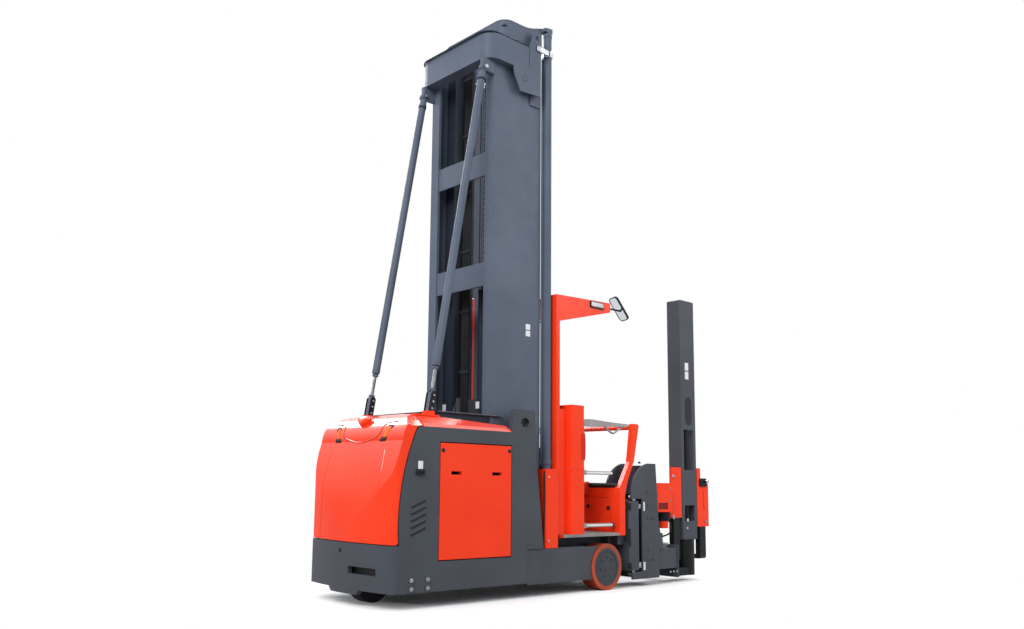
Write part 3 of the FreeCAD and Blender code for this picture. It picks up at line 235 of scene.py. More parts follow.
# the record's slots, each with its finishes; the first one is put on every CAD node of the slot
slot_finishes = {
    "orange_paint": [orange_paint, orange_painted_shade, orange_seam_and_crease_shade],
    "grey_paint": [grey_paint, mast_paint, dark_paint, hub_paint],
    "black_paint": [black_paint],
    "light_paint": [pale_paint, white_plate, lens],
    "bright_steel": [zinc, chrome, mirror_finish],
    "polyurethane": [urethane],
    "wheel_rubber": [rubber],
    "plastic_trim": [trim, amber, screen_finish],
    "floor_mat": [mat],
    "seat_cover": [cover_cloth],
}
node_finish = {part["node"]: slot_finishes[part["material_slot"]][0] for part in record["subparts"]}
for finish, names in (
        (mast_paint, ("fixed_mast", "mast_cap", "lift_barrels", "stays", "stage_cap")),
        (dark_paint, ("moving_stage", "chain_cylinder", "deck_cover")),
        (hub_paint, ("load_hub_right", "load_hub_left")),
        # the cab's rear wall and control panel take the darker orange copy, which is painted shade
        (orange_painted_shade, ("cab_rear_wall", "control_panel")),
        (chrome, ("lift_rods", "chain_rod")),
        (trim, ("mirrors",))):
    node_finish.update(dict.fromkeys(names, finish))
for name, finish in node_finish.items():
    slots = nodes[name].data.materials
    slots.clear()
    slots.append(finish)


# -------- surfaces for the small pieces
def unit(vectors):
    """Vectors scaled to length one."""
    vectors = np.asarray(vectors, float)
    return vectors / np.linalg.norm(vectors, axis=-1, keepdims=True)


def turns(count):
    """Even angles round a full turn."""
    return np.linspace(0, 2 * math.pi, count, endpoint=False)


def rings(layers):
    """Closed surface through a stack of equal rings: quads between them and a flat cap on each end."""
    layers = np.asarray(layers, float)
    count, sides = layers.shape[:2]
    start = np.arange(count - 1)[:, None] * sides
    here = np.arange(sides)[None, :]
    after = (here + 1) % sides
    faces = np.stack((start + here, start + after, start + sides + after, start + sides + here), axis=-1)
    first = np.arange(sides)[::-1]
    last = np.arange(sides) + (count - 1) * sides
    return layers.reshape(-1, 3), faces.reshape(-1, 4), [first, last]


def curve(points, count=40):
    """Smooth line through a few points: Catmull-Rom cubics, evenly stepped along the points."""
    points = np.asarray(points, float)
    padded = np.vstack([2 * points[0] - points[1], points, 2 * points[-1] - points[-2]])
    place = np.linspace(0, len(points) - 1, count)
    part = np.minimum(place.astype(int), len(points) - 2)
    t = (place - part)[:, None]
    a, b, c, d = (padded[part + k] for k in range(4))
    square, cube = 2 * a - 5 * b + 4 * c - d, 3 * b - a - 3 * c + d
    return 0.5 * (2 * b + (c - a) * t + square * t ** 2 + cube * t ** 3)


def straight(start, end, count=12):
    """Straight line in even steps."""
    return np.linspace(start, end, count)


def closed(loop):
    """A loop of points carried on over its start, so that a tube along it has no gap."""
    return np.vstack([loop, loop[:2]])


def rounded(width, height, radius, steps=5):
    """Outline of a rectangle about its middle, each corner a quarter round in a few steps."""
    turn = np.linspace(0, math.pi / 2, steps)
    quarter = np.column_stack([np.cos(turn), np.sin(turn)]) * radius
    middle = np.array([width / 2 - radius, height / 2 - radius])
    corners = []
    for k, (sx, sy) in enumerate(((1, 1), (-1, 1), (-1, -1), (1, -1))):
        turned_quarter = quarter if k % 2 == 0 else quarter[::-1]
        corners.append((turned_quarter + middle) * (sx, sy))
    return np.vstack(corners)


def tube(path, radius, sides=12, guide=None):
    """Round bar: circles square to a path, of one radius or one a point; guide is a way it never takes."""
    path = np.asarray(path, float)
    way = unit(np.gradient(path, axis=0))
    if guide is None:
        guide = AHEAD if abs(way[:, 2]).mean() > 0.8 else UP
    side = unit(np.cross(way, guide))
    up = np.cross(side, way)
    turn = turns(sides)[None, :, None]
    radius = np.broadcast_to(radius, len(path))[:, None, None]
    return rings(path[:, None] + radius * (np.cos(turn) * side[:, None] + np.sin(turn) * up[:, None]))


def turned(profile, centre, axis=OUT, sides=28):
    """Turned piece: (along, radius) steps of a profile spun about an axis from a centre."""
    axis = unit(axis)
    side = unit(np.cross(axis, UP if abs(axis[2]) < 0.8 else AHEAD))
    up = np.cross(axis, side)
    turn = turns(sides)[:, None]
    around = np.cos(turn) * side + np.sin(turn) * up
    profile = np.asarray(profile, float)
    return rings(np.asarray(centre, float) + profile[:, :1, None] * axis + profile[:, 1:, None] * around)


def drawn(outline):
    """Points of an outline, given as (across, up) pairs or as the numbers of a rounded rectangle."""
    return rounded(*outline) if np.ndim(outline) == 1 else np.asarray(outline, float)


def slab(outline, middle, across, up, depth, bevel=0.001):
    """Plate: an outline of (across, up) pairs drawn out by depth, its front edge drawn in by the bevel."""
    outline = drawn(outline)
    across, up = unit(across), unit(up)
    ahead = np.cross(across, up)
    edge = unit(np.roll(outline, -1, axis=0) - np.roll(outline, 1, axis=0))
    inner = outline + bevel * np.column_stack([-edge[:, 1], edge[:, 0]])
    layers = [o[:, :1] * across + o[:, 1:] * up + d * ahead
              for o, d in ((outline, 0.0), (outline, depth - bevel), (inner, depth))]
    return rings(np.asarray(middle, float) + layers)


def dome(outline, middle, across, up, height, count=7, sharp=0.5):
    """Bulge on an outline: copies shrunk by cos t and raised by sin t, t from 0 to nearly a right angle."""
    outline = drawn(outline)
    across, up = unit(across), unit(up)
    ahead = np.cross(across, up)
    centre = outline.mean(axis=0)
    layers = []
    for t in np.linspace(0, 0.48 * math.pi, count):
        loop = centre + (outline - centre) * math.cos(t) ** sharp
        layers.append(loop[:, :1] * across + loop[:, 1:] * up + height * math.sin(t) * ahead)
    return rings(np.asarray(middle, float) + layers)


def side_plate(outline, middle, depth, bevel=0.001):
    """Plate facing the truck's right: across is forwards, up is up, depth is outwards."""
    return slab(outline, middle, AHEAD, UP, depth, bevel)


def rear_plate(outline, middle, depth, bevel=0.001):
    """Plate facing the truck's rear: across is to the right, up is up, depth is rearwards."""
    return slab(outline, middle, OUT, UP, depth, bevel)


def top_plate(outline, middle, depth, bevel=0.001):
    """Plate facing up: across is forwards, up is to the left, depth is upwards."""
    return slab(outline, middle, AHEAD, (0, 1, 0), depth, bevel)


def bolt(centre, radius, height=None, axis=OUT):
    """Bolt head: a six-sided block with a chamfered top, standing on its centre along the axis."""
    height = height or 0.65 * radius
    return turned([(0, radius), (0.8 * height, radius), (height, 0.82 * radius)], centre, axis, 6)


def pin(centre, axis, radius, length):
    """Pin through a joint: a round bar with chamfered ends, half its length on each side of the centre."""
    half = length / 2
    return turned([(-half, 0.8 * radius), (-half + 0.2 * radius, radius), (half - 0.2 * radius, radius),
                   (half, 0.8 * radius)], centre, axis)


def ring(centre, inner, outer, height, axis=OUT):
    """Flat ring or washer: a turned collar with a lip, open in the middle to the eye."""
    return turned([(0, outer), (0.7 * height, outer), (height, 0.9 * outer), (height, inner),
                   (0.25 * height, inner)], centre, axis)


def mirrored(surface):
    """The same surface on the other side of the truck, its faces turned to stay outwards."""
    points, faces, caps = surface
    return points * (1, -1, 1), faces[:, ::-1], [cap[::-1] for cap in caps]


def piece(name, surfaces, finish, body="chassis"):
    """One object made of surfaces, riding on a body."""
    starts = np.cumsum([0] + [len(surface[0]) for surface in surfaces])
    points = np.concatenate([surface[0] for surface in surfaces])
    faces = np.concatenate([surface[1] + start for surface, start in zip(surfaces, starts)]).tolist()
    for surface, start in zip(surfaces, starts):
        faces += [(cap + start).tolist() for cap in surface[2]]
    mesh = bpy.data.meshes.new(name)
    mesh.from_pydata(points.tolist(), [], faces)
    mesh.shade_smooth()
    mesh.set_sharp_from_angle(angle=math.radians(35))
    mesh.materials.append(finish)
    made = bpy.data.objects.new(name, mesh)
    bpy.context.collection.objects.link(made)
    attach(made, body)
    return made


def pair(name, surfaces, finish, body="chassis"):
    """One object made of surfaces and their mirrored copies, riding on a body."""
    piece(name, surfaces + [mirrored(surface) for surface in surfaces], finish, body)


# the sides' names, each with the function that takes a right-hand surface there
SIDES = (("right", lambda surface: surface), ("left", mirrored))


def laid_on(node, points, way, lift=0.0):
    """Points moved along a way until they meet a CAD node's surface, then lifted along its normal."""
    mesh = nodes[node].data
    tree = BVHTree.FromPolygons([v.co for v in mesh.vertices], [tuple(p.vertices) for p in mesh.polygons])
    met = [tree.ray_cast(Vector(point), Vector(way)) for point in points]
    return np.array([np.array(place) + lift * np.array(normal) for place, normal, _, _ in met])


# -------- hood, skirt and side panels
hood_low, side_low, skirt_low = (corner(node)[0] for node in ("hood", "side_panels", "rear_skirt"))
skin_y = side_low[1]


def on_hood(pairs, lift=0.0):
    """Points of the hood's rear face at (y, z) pairs, or lifted off it."""
    return laid_on("hood", [(hood_low[0] - 0.5, y, z) for y, z in pairs], AHEAD, lift)


def hood_line(pairs, count, lift):
    """Smooth line on the hood's rear face through (y, z) pairs."""
    return on_hood(curve(pairs, count), lift)


def hood_details():
    """Pressed line under the crest, its darker orange a painted shade of the crease; folds beside the
    corners, two leaning lamps and the drop-shaped nub.
    """
    half_smile = [(0.0, 1.221), (0.06, 1.224), (0.124, 1.236), (0.18, 1.249), (0.225, 1.266), (0.252, 1.3),
                  (0.264, 1.345), (0.29, 1.365), (0.33, 1.372), (0.41, 1.376)]
    smile = half_smile[::-1] + [(-y, z) for y, z in half_smile[1:]]
    piece("hood_crease_shade_line", [tube(hood_line(smile, 90, -0.003), 0.0075, 10)], orange_seam_and_crease_shade, "hood")
    fold = [(0.395, hood_low[2] + 0.03), (0.378, 0.72), (0.382, 0.95), (0.36, 1.16)]
    piece("hood_folds", [tube(hood_line([(side * y, z) for y, z in fold], 40, -0.006), 0.009, 10)
                         for side in (-1, 1)], orange_paint, "hood")
    frames, lenses, feet = [], [], []
    for side in (-1, 1):
        low, high = on_hood([(side * 0.3, 1.226), (side * 0.3, 1.348)])
        up = unit(high - low)
        length = np.linalg.norm(high - low)
        lean = -0.052 * side
        outline = np.array([(-0.038, 0), (0.03, 0), (0.04, 0.006), (0.04 + lean, length - 0.012),
                            (0.03 + lean, length), (-0.018 + lean, length),
                            (-0.034 + 0.75 * lean, length - 0.02)])
        centre = outline.mean(axis=0)
        glass = centre + (outline - centre) * (0.62, 0.72) + (0.002, 0.006)
        foot = centre + (outline - centre) * (0.7, 0.12) - (lean * 0.4, length * 0.42)
        frames.append(slab(outline, low, OUT, up, 0.006, 0.003))
        lenses.append(dome(glass, low, OUT, up, 0.014))
        feet.append(slab(foot, low, OUT, up, 0.011, 0.002))
    piece("tail_lamp_frames", frames, trim, "hood")
    piece("tail_lamp_lenses", lenses, amber, "hood")
    piece("tail_lamp_feet", feet, trim, "hood")
    turn = turns(28)
    drop = np.column_stack([0.125 * np.sin(turn) * (0.6 + 0.4 * np.cos(turn)), 0.05 * np.cos(turn)])
    middle = on_hood([(0.03, 1.385)])[0] - (0.006, 0, 0)
    piece("hood_nub", [dome(drop[::-1], middle, OUT, (0.5, 0, 1), 0.04)], orange_paint, "hood")


def skirt_details():
    """Painted shade of the towing slot as a black plate inside it, a small round hole and the bright hooks
    low on each side.
    """
    slot = (skirt_low[0] + 0.07, -0.224, skirt_low[2] + 0.178)
    piece("tow_slot_shade", [rear_plate((0.34, 0.075, 0.006), slot, 0.012)], trim)
    hole = laid_on("rear_skirt", [(skirt_low[0] - 0.5, 0.048, 0.399)], AHEAD)[0]
    piece("skirt_hole", [ring(hole, 0.011, 0.017, 0.004, REAR)], trim)
    hooks = []
    for x in (side_low[0] + 0.118, side_low[0] + 0.272):
        for z in (0.149, 0.212):
            hooks.append(turned([(0, 0.015), (0.008, 0.015), (0.011, 0.009), (0.018, 0.009), (0.02, 0.006)],
                                (x, skin_y, z), sides=16))
            hooks.append(tube(curve([(x - 0.012, skin_y - 0.006, z + 0.004), (x, skin_y - 0.016, z + 0.014),
                                     (x + 0.014, skin_y - 0.014, z - 0.004)], 12), 0.0035, 8))
    pair("skirt_hooks", hooks, zinc)


def louvre_details():
    """Five sloping slots behind each door: a dark plate let into the skin under a round lip, painting the
    shade inside each slot.
    """
    slots, lips = [], []
    for z in 0.532 + 0.0505 * np.arange(5):
        line = np.array([(side_low[0] + 0.103, skin_y, z), (side_low[0] + 0.25, skin_y, z + 0.056)])
        way = unit(line[1] - line[0])
        slots.append(slab((0.15, 0.019, 0.008), line.mean(axis=0) + (0, 0.004, 0), way,
                          np.cross(OUT, way), 0.0055))
        lips.append(tube(straight(*(line + (0, 0, 0.013)), 9), 0.0045, 8))
    pair("louvre_slot_shades", slots, trim)
    pair("louvre_lips", lips, grey_paint)


def side_details():
    """Blank plate and charging socket behind each door, lifting eye's ring and hook, door screws."""
    socket = np.array([side_low[0] + 0.184, skin_y, 0.998])
    plate = side_plate((0.046, 0.06, 0.003), socket + (0.003, 0, 0.052), 0.0025)
    pair("blank_plate", [plate], white_plate)
    block = [side_plate((0.078, 0.044, 0.006), socket, 0.014, 0.003)]
    block += [ring(socket + (dx, -0.012, 0), 0.008, 0.015, 0.008) for dx in (-0.018, 0.018)]
    pair("charging_socket", block, trim)
    centre = mount_place("lifting_eye_right")
    centre[1] = skin_y
    hook = curve(centre + [(-0.004, -0.01, 0.034), (0.022, -0.018, 0.012), (0.016, -0.014, -0.02),
                           (-0.012, -0.01, -0.03)], 20)
    pair("lifting_eye_rings", [ring(centre, 0.028, 0.038, 0.006), tube(hook, 0.006, 8)], black_paint)
    low, high = corner("battery_door_right")
    screws = [turned([(0, 0.016), (0.004, 0.016), (0.006, 0.013), (0.006, 0.006), (0.002, 0.005)],
                     (x, skin_y, z), sides=20)
              for x, z in ((low[0] + 0.024, high[2] - 0.056), (high[0] - 0.022, high[2] - 0.04))]
    for side, keep in SIDES:
        piece("door_screws_" + side, [keep(screw) for screw in screws], trim, "door_" + side)


def cover_details():
    """Rounded lip along each upper edge of the battery cover, and under it a dark plate that is painted
    shade.
    """
    low, high = corner("deck_cover")
    edge_z = high[2] - 0.006
    lip = straight((low[0], low[1], edge_z), (high[0], low[1], edge_z), 8)
    pair("cover_lips", [tube(lip, 0.006, 8)], grey_paint)
    length, height = high[0] - low[0], high[2] - low[2]
    middle = (low[0] + length / 2 - 0.06, low[1] + 0.016, low[2] + height / 2 + 0.004)
    wall = side_plate((length - 0.16, height - 0.03, 0.004), middle, 0.002)
    pair("cover_painted_shade_walls", [wall], dark_paint)


hood_details()
skirt_details()
louvre_details()
side_details()
cover_details()


# -------- mast
cap_low = corner("mast_cap")[0]
stage_low, stage_high = corner("moving_stage")
barrel_low, barrel_high = corner("lift_barrels")
head_eye = mount_place("mast_head_eye_right")
cap_bottom = head_eye[2] + 0.068
cap_top = cap_bottom + 0.24
cap_front = head_eye[0] + 0.203


def u_line(half, rear, front, radius, height):
    """Line round a U in plan: two straight sides and quarter rounds at the rear, at one height."""
    turn = np.linspace(0, math.pi / 2, 14)
    round_end = np.column_stack([rear - radius * np.sin(turn), -half - radius * np.cos(turn)]) + radius
    side = np.column_stack([np.linspace(front, rear + radius, 16)[:-1], np.full(15, -half)])
    right = np.vstack([side, round_end])
    whole = np.vstack([right, right[::-1] * (1, -1)])
    return np.column_stack([whole, np.full(len(whole), height)])


def mast_head_details():
    """Edge lips of both heads; slit, ear cap, eye rings and the painted shade in their bores on the mast's
    head.
    """
    lip = u_line(-cap_low[1] - 0.003, cap_low[0] + 0.003, cap_front - 0.15, 0.127, cap_top - 0.001)
    piece("mast_head_lip", [tube(lip, 0.0075, 8)], dark_paint)
    low, high = corner("stage_cap")
    lip = u_line(0.421, low[0] + 0.006, high[0] - 0.004, 0.104, 0.0)
    rear_z = low[2] + 0.184
    t = np.clip((lip[:, 0] - (cap_front - 0.191)) / 0.38, 0, 1)
    lip[:, 2] = rear_z + (high[2] - rear_z) * np.where(t < 0.5, 2 * t ** 2, 1 - 2 * (1 - t) ** 2)
    piece("stage_head_lip", [tube(lip, 0.009, 8)], mast_paint, "mast_stage")
    y = cap_low[1]
    slit = side_plate((0.005, 0.205, 0.002), (cap_front - 0.149, y, cap_top - 0.1), 0.0012, 0.0004)
    ear = (cap_front - 0.052, y, cap_top + 0.117)
    eye = np.array([head_eye[0], y, head_eye[2]])
    ear_cap = turned([(0, 0.016), (0.0015, 0.015), (0.002, 0.012)], ear)
    pair("mast_head_slits", [slit, ear_cap], trim)
    pair("mast_head_eye_rings", [ring(ear, 0.016, 0.024, 0.004), ring(eye, 0.024, 0.03, 0.003)],
         mast_paint)
    bore = turned([(0, 0.0236), (0.002, 0.0236), (0.003, 0.02)], eye + (0, 0.012, 0))
    pair("mast_head_eye_shades", [bore], trim)


def cylinder_details():
    """Clamp and gland of each lift cylinder, and the moving stage's chain anchors with their nuts."""
    clamp_z = cap_top - 0.012
    x, y = corner("lift_rods")[1][0] - 0.024, -0.445
    strap = turned([(0, 0.045), (0.004, 0.048), (0.053, 0.048), (0.057, 0.045)], (x, y, clamp_z), UP, 32)
    place = (x - 0.11, cap_low[1] - 0.007, clamp_z + 0.026)
    leg = side_plate((0.15, 0.05, 0.012), place, 0.006, 0.002)
    bolts = [bolt((x - 0.16, cap_low[1] - 0.012, clamp_z + dz), 0.011) for dz in (0.012, 0.042)]
    pair("cylinder_clamps", [strap, leg] + bolts, chrome)
    gland = turned([(-0.04, 0.0372), (-0.036, 0.04), (0.0, 0.04), (0.006, 0.034), (0.006, 0.026)],
                   (x, y, barrel_high[2] - 0.004), UP, 32)
    pair("cylinder_glands", [gland], mast_paint)
    anchors, nuts = [], []
    for back in (0.05, 0.1, 0.15):
        for y in (-0.3, -0.345):
            foot = np.array([stage_high[0] - back, y, stage_high[2]])
            anchors.append(tube(straight(foot - (0, 0, 0.01), foot + (0, 0, 0.075), 5), 0.008, 10))
            nuts += [bolt(foot + (0, 0, z), 0.017, 0.014, UP) for z in (0.012, 0.03)]
    pair("chain_anchors", anchors + nuts, zinc, "mast_stage")


def stay_ends():
    """Rounded eyes and pins at the stays' heads; threads, nuts and pinned clevises at their feet."""
    bridge_low, bridge_high = corner("stay_bridge")
    top = np.array([cap_low[0] + 0.015, -0.405, cap_bottom - 0.094])
    foot = np.array([bridge_high[0] - 0.07, -0.405, bridge_low[2] + 0.122])
    way = unit(foot - top)
    length = np.linalg.norm(foot - top)
    across = (0, 1, 0)
    eye = turned([(-0.024, 0.026), (-0.02, 0.034), (0.02, 0.034), (0.024, 0.026)], top, across)
    collar = turned([(0.03, 0.022), (0.05, 0.03), (0.085, 0.033), (0.09, 0.036), (0.1, 0.036),
                     (0.104, 0.033)], top, way)
    pair("stay_eyes", [eye, collar], mast_paint)
    pair("stay_pins", [pin(top, across, 0.014, 0.082), bolt(top - (0, 0.041, 0), 0.02, 0.012)], zinc)
    seal = turned([(0.108, 0.0335), (0.11, 0.037), (0.122, 0.037), (0.124, 0.0335)], top, way)
    pair("stay_rubber_rings", [seal], rubber)
    start = length - 0.378
    steps = np.arange(0, 0.215, 0.004)
    thread = np.column_stack([start + steps, 0.0132 + 0.0018 * (np.arange(len(steps)) % 2)])
    pair("stay_threads", [turned(thread, top, way, 16)], zinc)
    nuts = [turned([(along, 0.026), (along + 0.018, 0.026), (along + 0.02, 0.022)], top, way, 6)
            for along in (start + 0.006, length - 0.19)]
    mouth = turned([(start - 0.03, 0.034), (start - 0.02, 0.034), (start - 0.004, 0.024)], top, way, 20)
    pair("stay_nuts", nuts + [mouth], mast_paint)
    cheeks = [slab((0.05, 0.17, 0.02), foot - way * 0.085 + (0, y, 0), np.cross(way, across), -way,
                   0.008, 0.002) for y in (-0.026, 0.034)]
    pair("stay_clevises", cheeks, black_paint)
    pair("stay_clevis_pins", [pin(foot - way * away, across, 0.009, 0.086) for away in (0.03, 0.085, 0.135)],
         zinc)


def mast_inside_details():
    """Hoses, pipes, clips and cable chain up the moving stage; blank plates, pressure pipes and welds."""
    low, high = stage_low[2] + 0.2, stage_high[2] - 0.12
    x = stage_low[0] + 0.05

    def risers(places, radius):
        return [tube(straight((x, y, low), (x, y, high), 20), radius, 10) for y in places]

    piece("mast_hoses", risers((0.11, 0.135, 0.16, 0.185), 0.0105), rubber, "mast_stage")
    piece("mast_pipes", risers((-0.225, -0.2), 0.008), black_paint, "mast_stage")
    clips = [rear_plate((width, 0.03, 0.004), (x - 0.005, y, z), 0.012, 0.002)
             for z in np.arange(low + 0.2, high, 0.55) for width, y in ((0.115, 0.147), (0.06, -0.212))]
    piece("hose_clips", clips, dark_paint, "mast_stage")
    links = [rear_plate((0.07, 0.043, 0.008), (x + 0.01, -0.12, z), 0.024, 0.004)
             for z in np.arange(low, high, 0.05)]
    piece("cable_chain", links, trim, "mast_stage")
    inner_y = -0.417
    plates = [side_plate((0.055, 0.05, 0.003), (-0.519, inner_y, z), 0.002) for z in (2.27, 2.212)]
    pair("mast_blank_plates", plates, white_plate)
    plates = [rear_plate((0.045, 0.06, 0.003), (stage_low[0] - 0.001, y, 1.59), 0.004)
              for y in (-0.089, 0.36)]
    piece("stage_blank_plates", plates, white_plate, "mast_stage")
    pipe_x = (barrel_low[0] + barrel_high[0]) / 2 + 0.0325
    pipe = straight((pipe_x, -0.414, barrel_low[2] + 0.02), (pipe_x, -0.414, cap_top - 0.02))
    pair("mast_pressure_pipes", [tube(pipe, 0.0115)], mast_paint)
    mast_low = corner("fixed_mast")[0]
    weld_x, weld_y = mast_low[0] + 0.006, inner_y + 0.006
    weld = straight((weld_x, weld_y, mast_low[2]), (weld_x, weld_y, cap_bottom))
    pair("mast_corner_welds", [tube(weld, 0.0062, 10)], mast_paint)


mast_head_details()
cylinder_details()
stay_ends()
mast_inside_details()


# -------- operator's cab
floor_low, floor_high = corner("cab_floor")
guard_low, guard_high = corner("overhead_guard")
wall_low, wall_high = corner("cab_front_wall")
box_low, box_high = corner("cab_side_boxes")


def cab_mast_guides():
    """Orange guide bars of the cab that stand inside the mast beside the carriage."""
    low, high = corner("cab_mast_carriage")
    x, y, bottom, top = -0.515, -0.325, high[2] - 0.21, guard_high[2] + 0.02
    bar = top_plate((0.04, 0.04, 0.008), (x, y, bottom), top - bottom, 0.006)
    ties = [side_plate((0.036, 0.05, 0.004), (x, low[1] + 0.004, high[2] - drop), low[1] - y - 0.012)
            for drop in (0.17, 0.05)]
    pair("cab_guide_bars", [bar] + ties, orange_paint, "cab")


def guard_lamps():
    """Long lamp on the outside of each guard arm: dark frame and a pale bulging lens."""
    x, z = guard_low[0] + 0.5415, guard_high[2] - 0.047
    frame_plate = side_plate((0.184, 0.06, 0.006), (x, guard_low[1], z), 0.012, 0.003)
    pair("guard_lamp_frames", [frame_plate], trim, "cab")
    glass = dome((0.166, 0.042, 0.008), (x, guard_low[1] - 0.011, z), AHEAD, UP, 0.011, 6, 0.18)
    pair("guard_lamp_lenses", [glass], lens, "cab")


def mirror_details():
    """Glass and rubber rim on each mirror's rear face, tilted down and turned in with it."""
    mirror_low, mirror_high = corner("mirrors")
    tilt, yaw = math.radians(33), math.radians(23)
    middle = np.array([guard_high[0] + 0.19, -0.462, (mirror_low[2] + mirror_high[2]) / 2])
    spun = np.array([(math.cos(yaw), math.sin(yaw), 0), (-math.sin(yaw), math.cos(yaw), 0), UP])
    up = spun @ (-math.sin(tilt), 0, math.cos(tilt))
    away = spun @ (-math.cos(tilt), 0, -math.sin(tilt))
    across = np.cross(up, away)
    face = middle + 0.008 * away
    glass = slab((0.136, 0.236, 0.034), face, across, up, 0.0022, 0.0008)
    pair("mirror_glass", [glass], mirror_finish, "cab")
    loop = closed(rounded(0.143, 0.243, 0.037, 6))
    rim = face + loop[:, :1] * across + loop[:, 1:] * up + 0.001 * away
    pair("mirror_rims", [tube(rim, 0.0052, 8, away)], rubber, "cab")


def desk_details():
    """Padded edge along the front wall's top; screens, grips with their buttons, and a row of keys."""
    half, top, x = 0.512, wall_high[2], wall_low[0] + 0.01
    line = curve([(x + 0.008, -half, top - 0.002), (x, -0.25, top), (x, 0.25, top),
                  (x + 0.008, half, top - 0.002)], 30)
    plate = top_plate((0.06, 2 * half, 0.012), (x + 0.026, 0, top), 0.022, 0.006)
    piece("desk_edge", [tube(line, 0.024, 14), plate], trim, "cab")
    desk_low, desk_high = corner("control_panel")
    x = (desk_low[0] + desk_high[0]) / 2
    screens = [top_plate((0.07, 0.12, 0.008), (x + 0.01, y, desk_high[2] - 0.002), 0.006, 0.002)
               for y in (-0.06, 0.11)]
    piece("desk_screens", screens, screen_finish, "cab")
    grips, knobs = [], []
    lean = (-0.25, 0, 1)
    for y in (-0.15, 0.15):
        base = np.array([x - 0.03, y, desk_high[2] - 0.004])
        grips.append(turned([(0, 0.034), (0.012, 0.034), (0.018, 0.024), (0.04, 0.018), (0.075, 0.021),
                             (0.1, 0.024), (0.115, 0.02), (0.122, 0.008)], base, lean, 24))
        tip = base + (-0.029, 0, 0.122)
        knobs.append(turned([(0.0, 0.011), (0.006, 0.011), (0.009, 0.006)], tip, lean, 16))
    piece("control_grips", grips, rubber, "cab")
    piece("grip_buttons", knobs, amber, "cab")
    keys = [turned([(0, 0.008), (0.004, 0.008), (0.006, 0.005)], (x + 0.04, y, desk_high[2]), UP, 14)
            for y in -0.04 + 0.02 * np.arange(5)]
    piece("desk_keys", keys, pale_paint, "cab")


def wall_and_floor_details():
    """Round sockets and the panel's seam on the front wall; studs of the mat and two pedals on the floor."""
    sockets = [ring((wall_low[0], y, z), 0.011, 0.02, 0.004, REAR)
               for y, z in ((-0.184, 0.724), (-0.425, 0.713))]
    pair("wall_sockets", sockets, trim, "cab")
    loop = closed(rounded(0.9, 0.3, 0.03))
    seam = np.column_stack([np.full(len(loop), wall_low[0]), -loop[:, 0], 0.66 + loop[:, 1]])
    piece("wall_panel_seam", [tube(seam, 0.003, 6, AHEAD)], orange_seam_and_crease_shade, "cab")
    studs = [turned([(0, 0.011), (0.0018, 0.0095), (0.0024, 0.006)], (x, y, floor_high[2]), UP, 10)
             for x in np.arange(floor_low[0] + 0.09, floor_high[0] - 0.03, 0.045)
             for y in np.arange(-0.42, 0.43, 0.06)]
    piece("mat_studs", studs, mat, "cab")
    pedals = [top_plate((0.14, 0.1, 0.012), (wall_low[0] - 0.15, y, floor_high[2]), 0.014, 0.004)
              for y in (-0.12, 0.12)]
    piece("floor_pedals", pedals, rubber, "cab")


def pad(middle, half, swell=0.18, steps=22, sides=56):
    """Stuffed pad: a superellipsoid of powers 0.42 and 0.3, its broad face swollen towards the middle."""
    tilt = np.linspace(-0.492 * math.pi, 0.492 * math.pi, steps)[:, None]
    turn = turns(sides)[None, :]

    def power(value, size):
        return np.sign(value) * np.abs(value) ** size

    x = power(np.cos(tilt), 0.42) * power(np.cos(turn), 0.3)
    y = power(np.cos(tilt), 0.42) * power(np.sin(turn), 0.3)
    z = power(np.sin(tilt), 0.42) * np.ones_like(turn)
    z = z * (1 - swell + swell * np.cos(1.2 * x) * np.cos(1.2 * y))
    return np.stack([x, y, z], axis=-1) * half + middle


def seat_details():
    """Cushion and back rest as stuffed vinyl pads, each with piping round its seam."""
    low, high = corner("seat")
    middle = np.array([(low[0] + 0.06 + high[0]) / 2, 0, low[2] + 0.036])
    flat = pad(middle, np.array([(high[0] - low[0] - 0.06) / 2, high[1], 0.037]))
    upright = pad(np.zeros(3), np.array([0.126, high[1], 0.029]))[:, ::-1, [2, 1, 0]]
    upright = upright + (low[0] + 0.028, 0, low[2] + 0.21)
    for name, grid, guide in (("seat_cushion", flat, UP), ("seat_back", upright, AHEAD)):
        cushion = piece(name, [rings(grid)], cover_cloth, "cab")
        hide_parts("seat")
        piece(name + "_piping", [tube(closed(grid[len(grid) // 2]), 0.0042, 8, guide)], rubber, "cab")


def side_box_details():
    """Recess drawn as a darker orange plate of painted shade, hand grip and seam on the outside of both side
    boxes.
    """
    x, y = box_high[0], box_low[1]
    recess = side_plate((0.05, 0.23, 0.012), (x - 0.027, y, 1.2575), 0.0022)
    pair("side_box_recess_shades", [recess], orange_seam_and_crease_shade, "cab")
    grip = curve([(x - 0.004, y + 0.02, 1.13), (x + 0.012, y + 0.02, 1.17), (x + 0.012, y + 0.02, 1.345),
                  (x - 0.004, y + 0.02, 1.385)], 24)
    pair("side_box_grips", [tube(grip, 0.009, 10)], rubber, "cab")
    seam = straight((box_low[0] + 0.004, y, 1.06), (x - 0.004, y, 1.06), 6)
    pair("side_box_seams", [tube(seam, 0.0022, 6)], orange_seam_and_crease_shade, "cab")


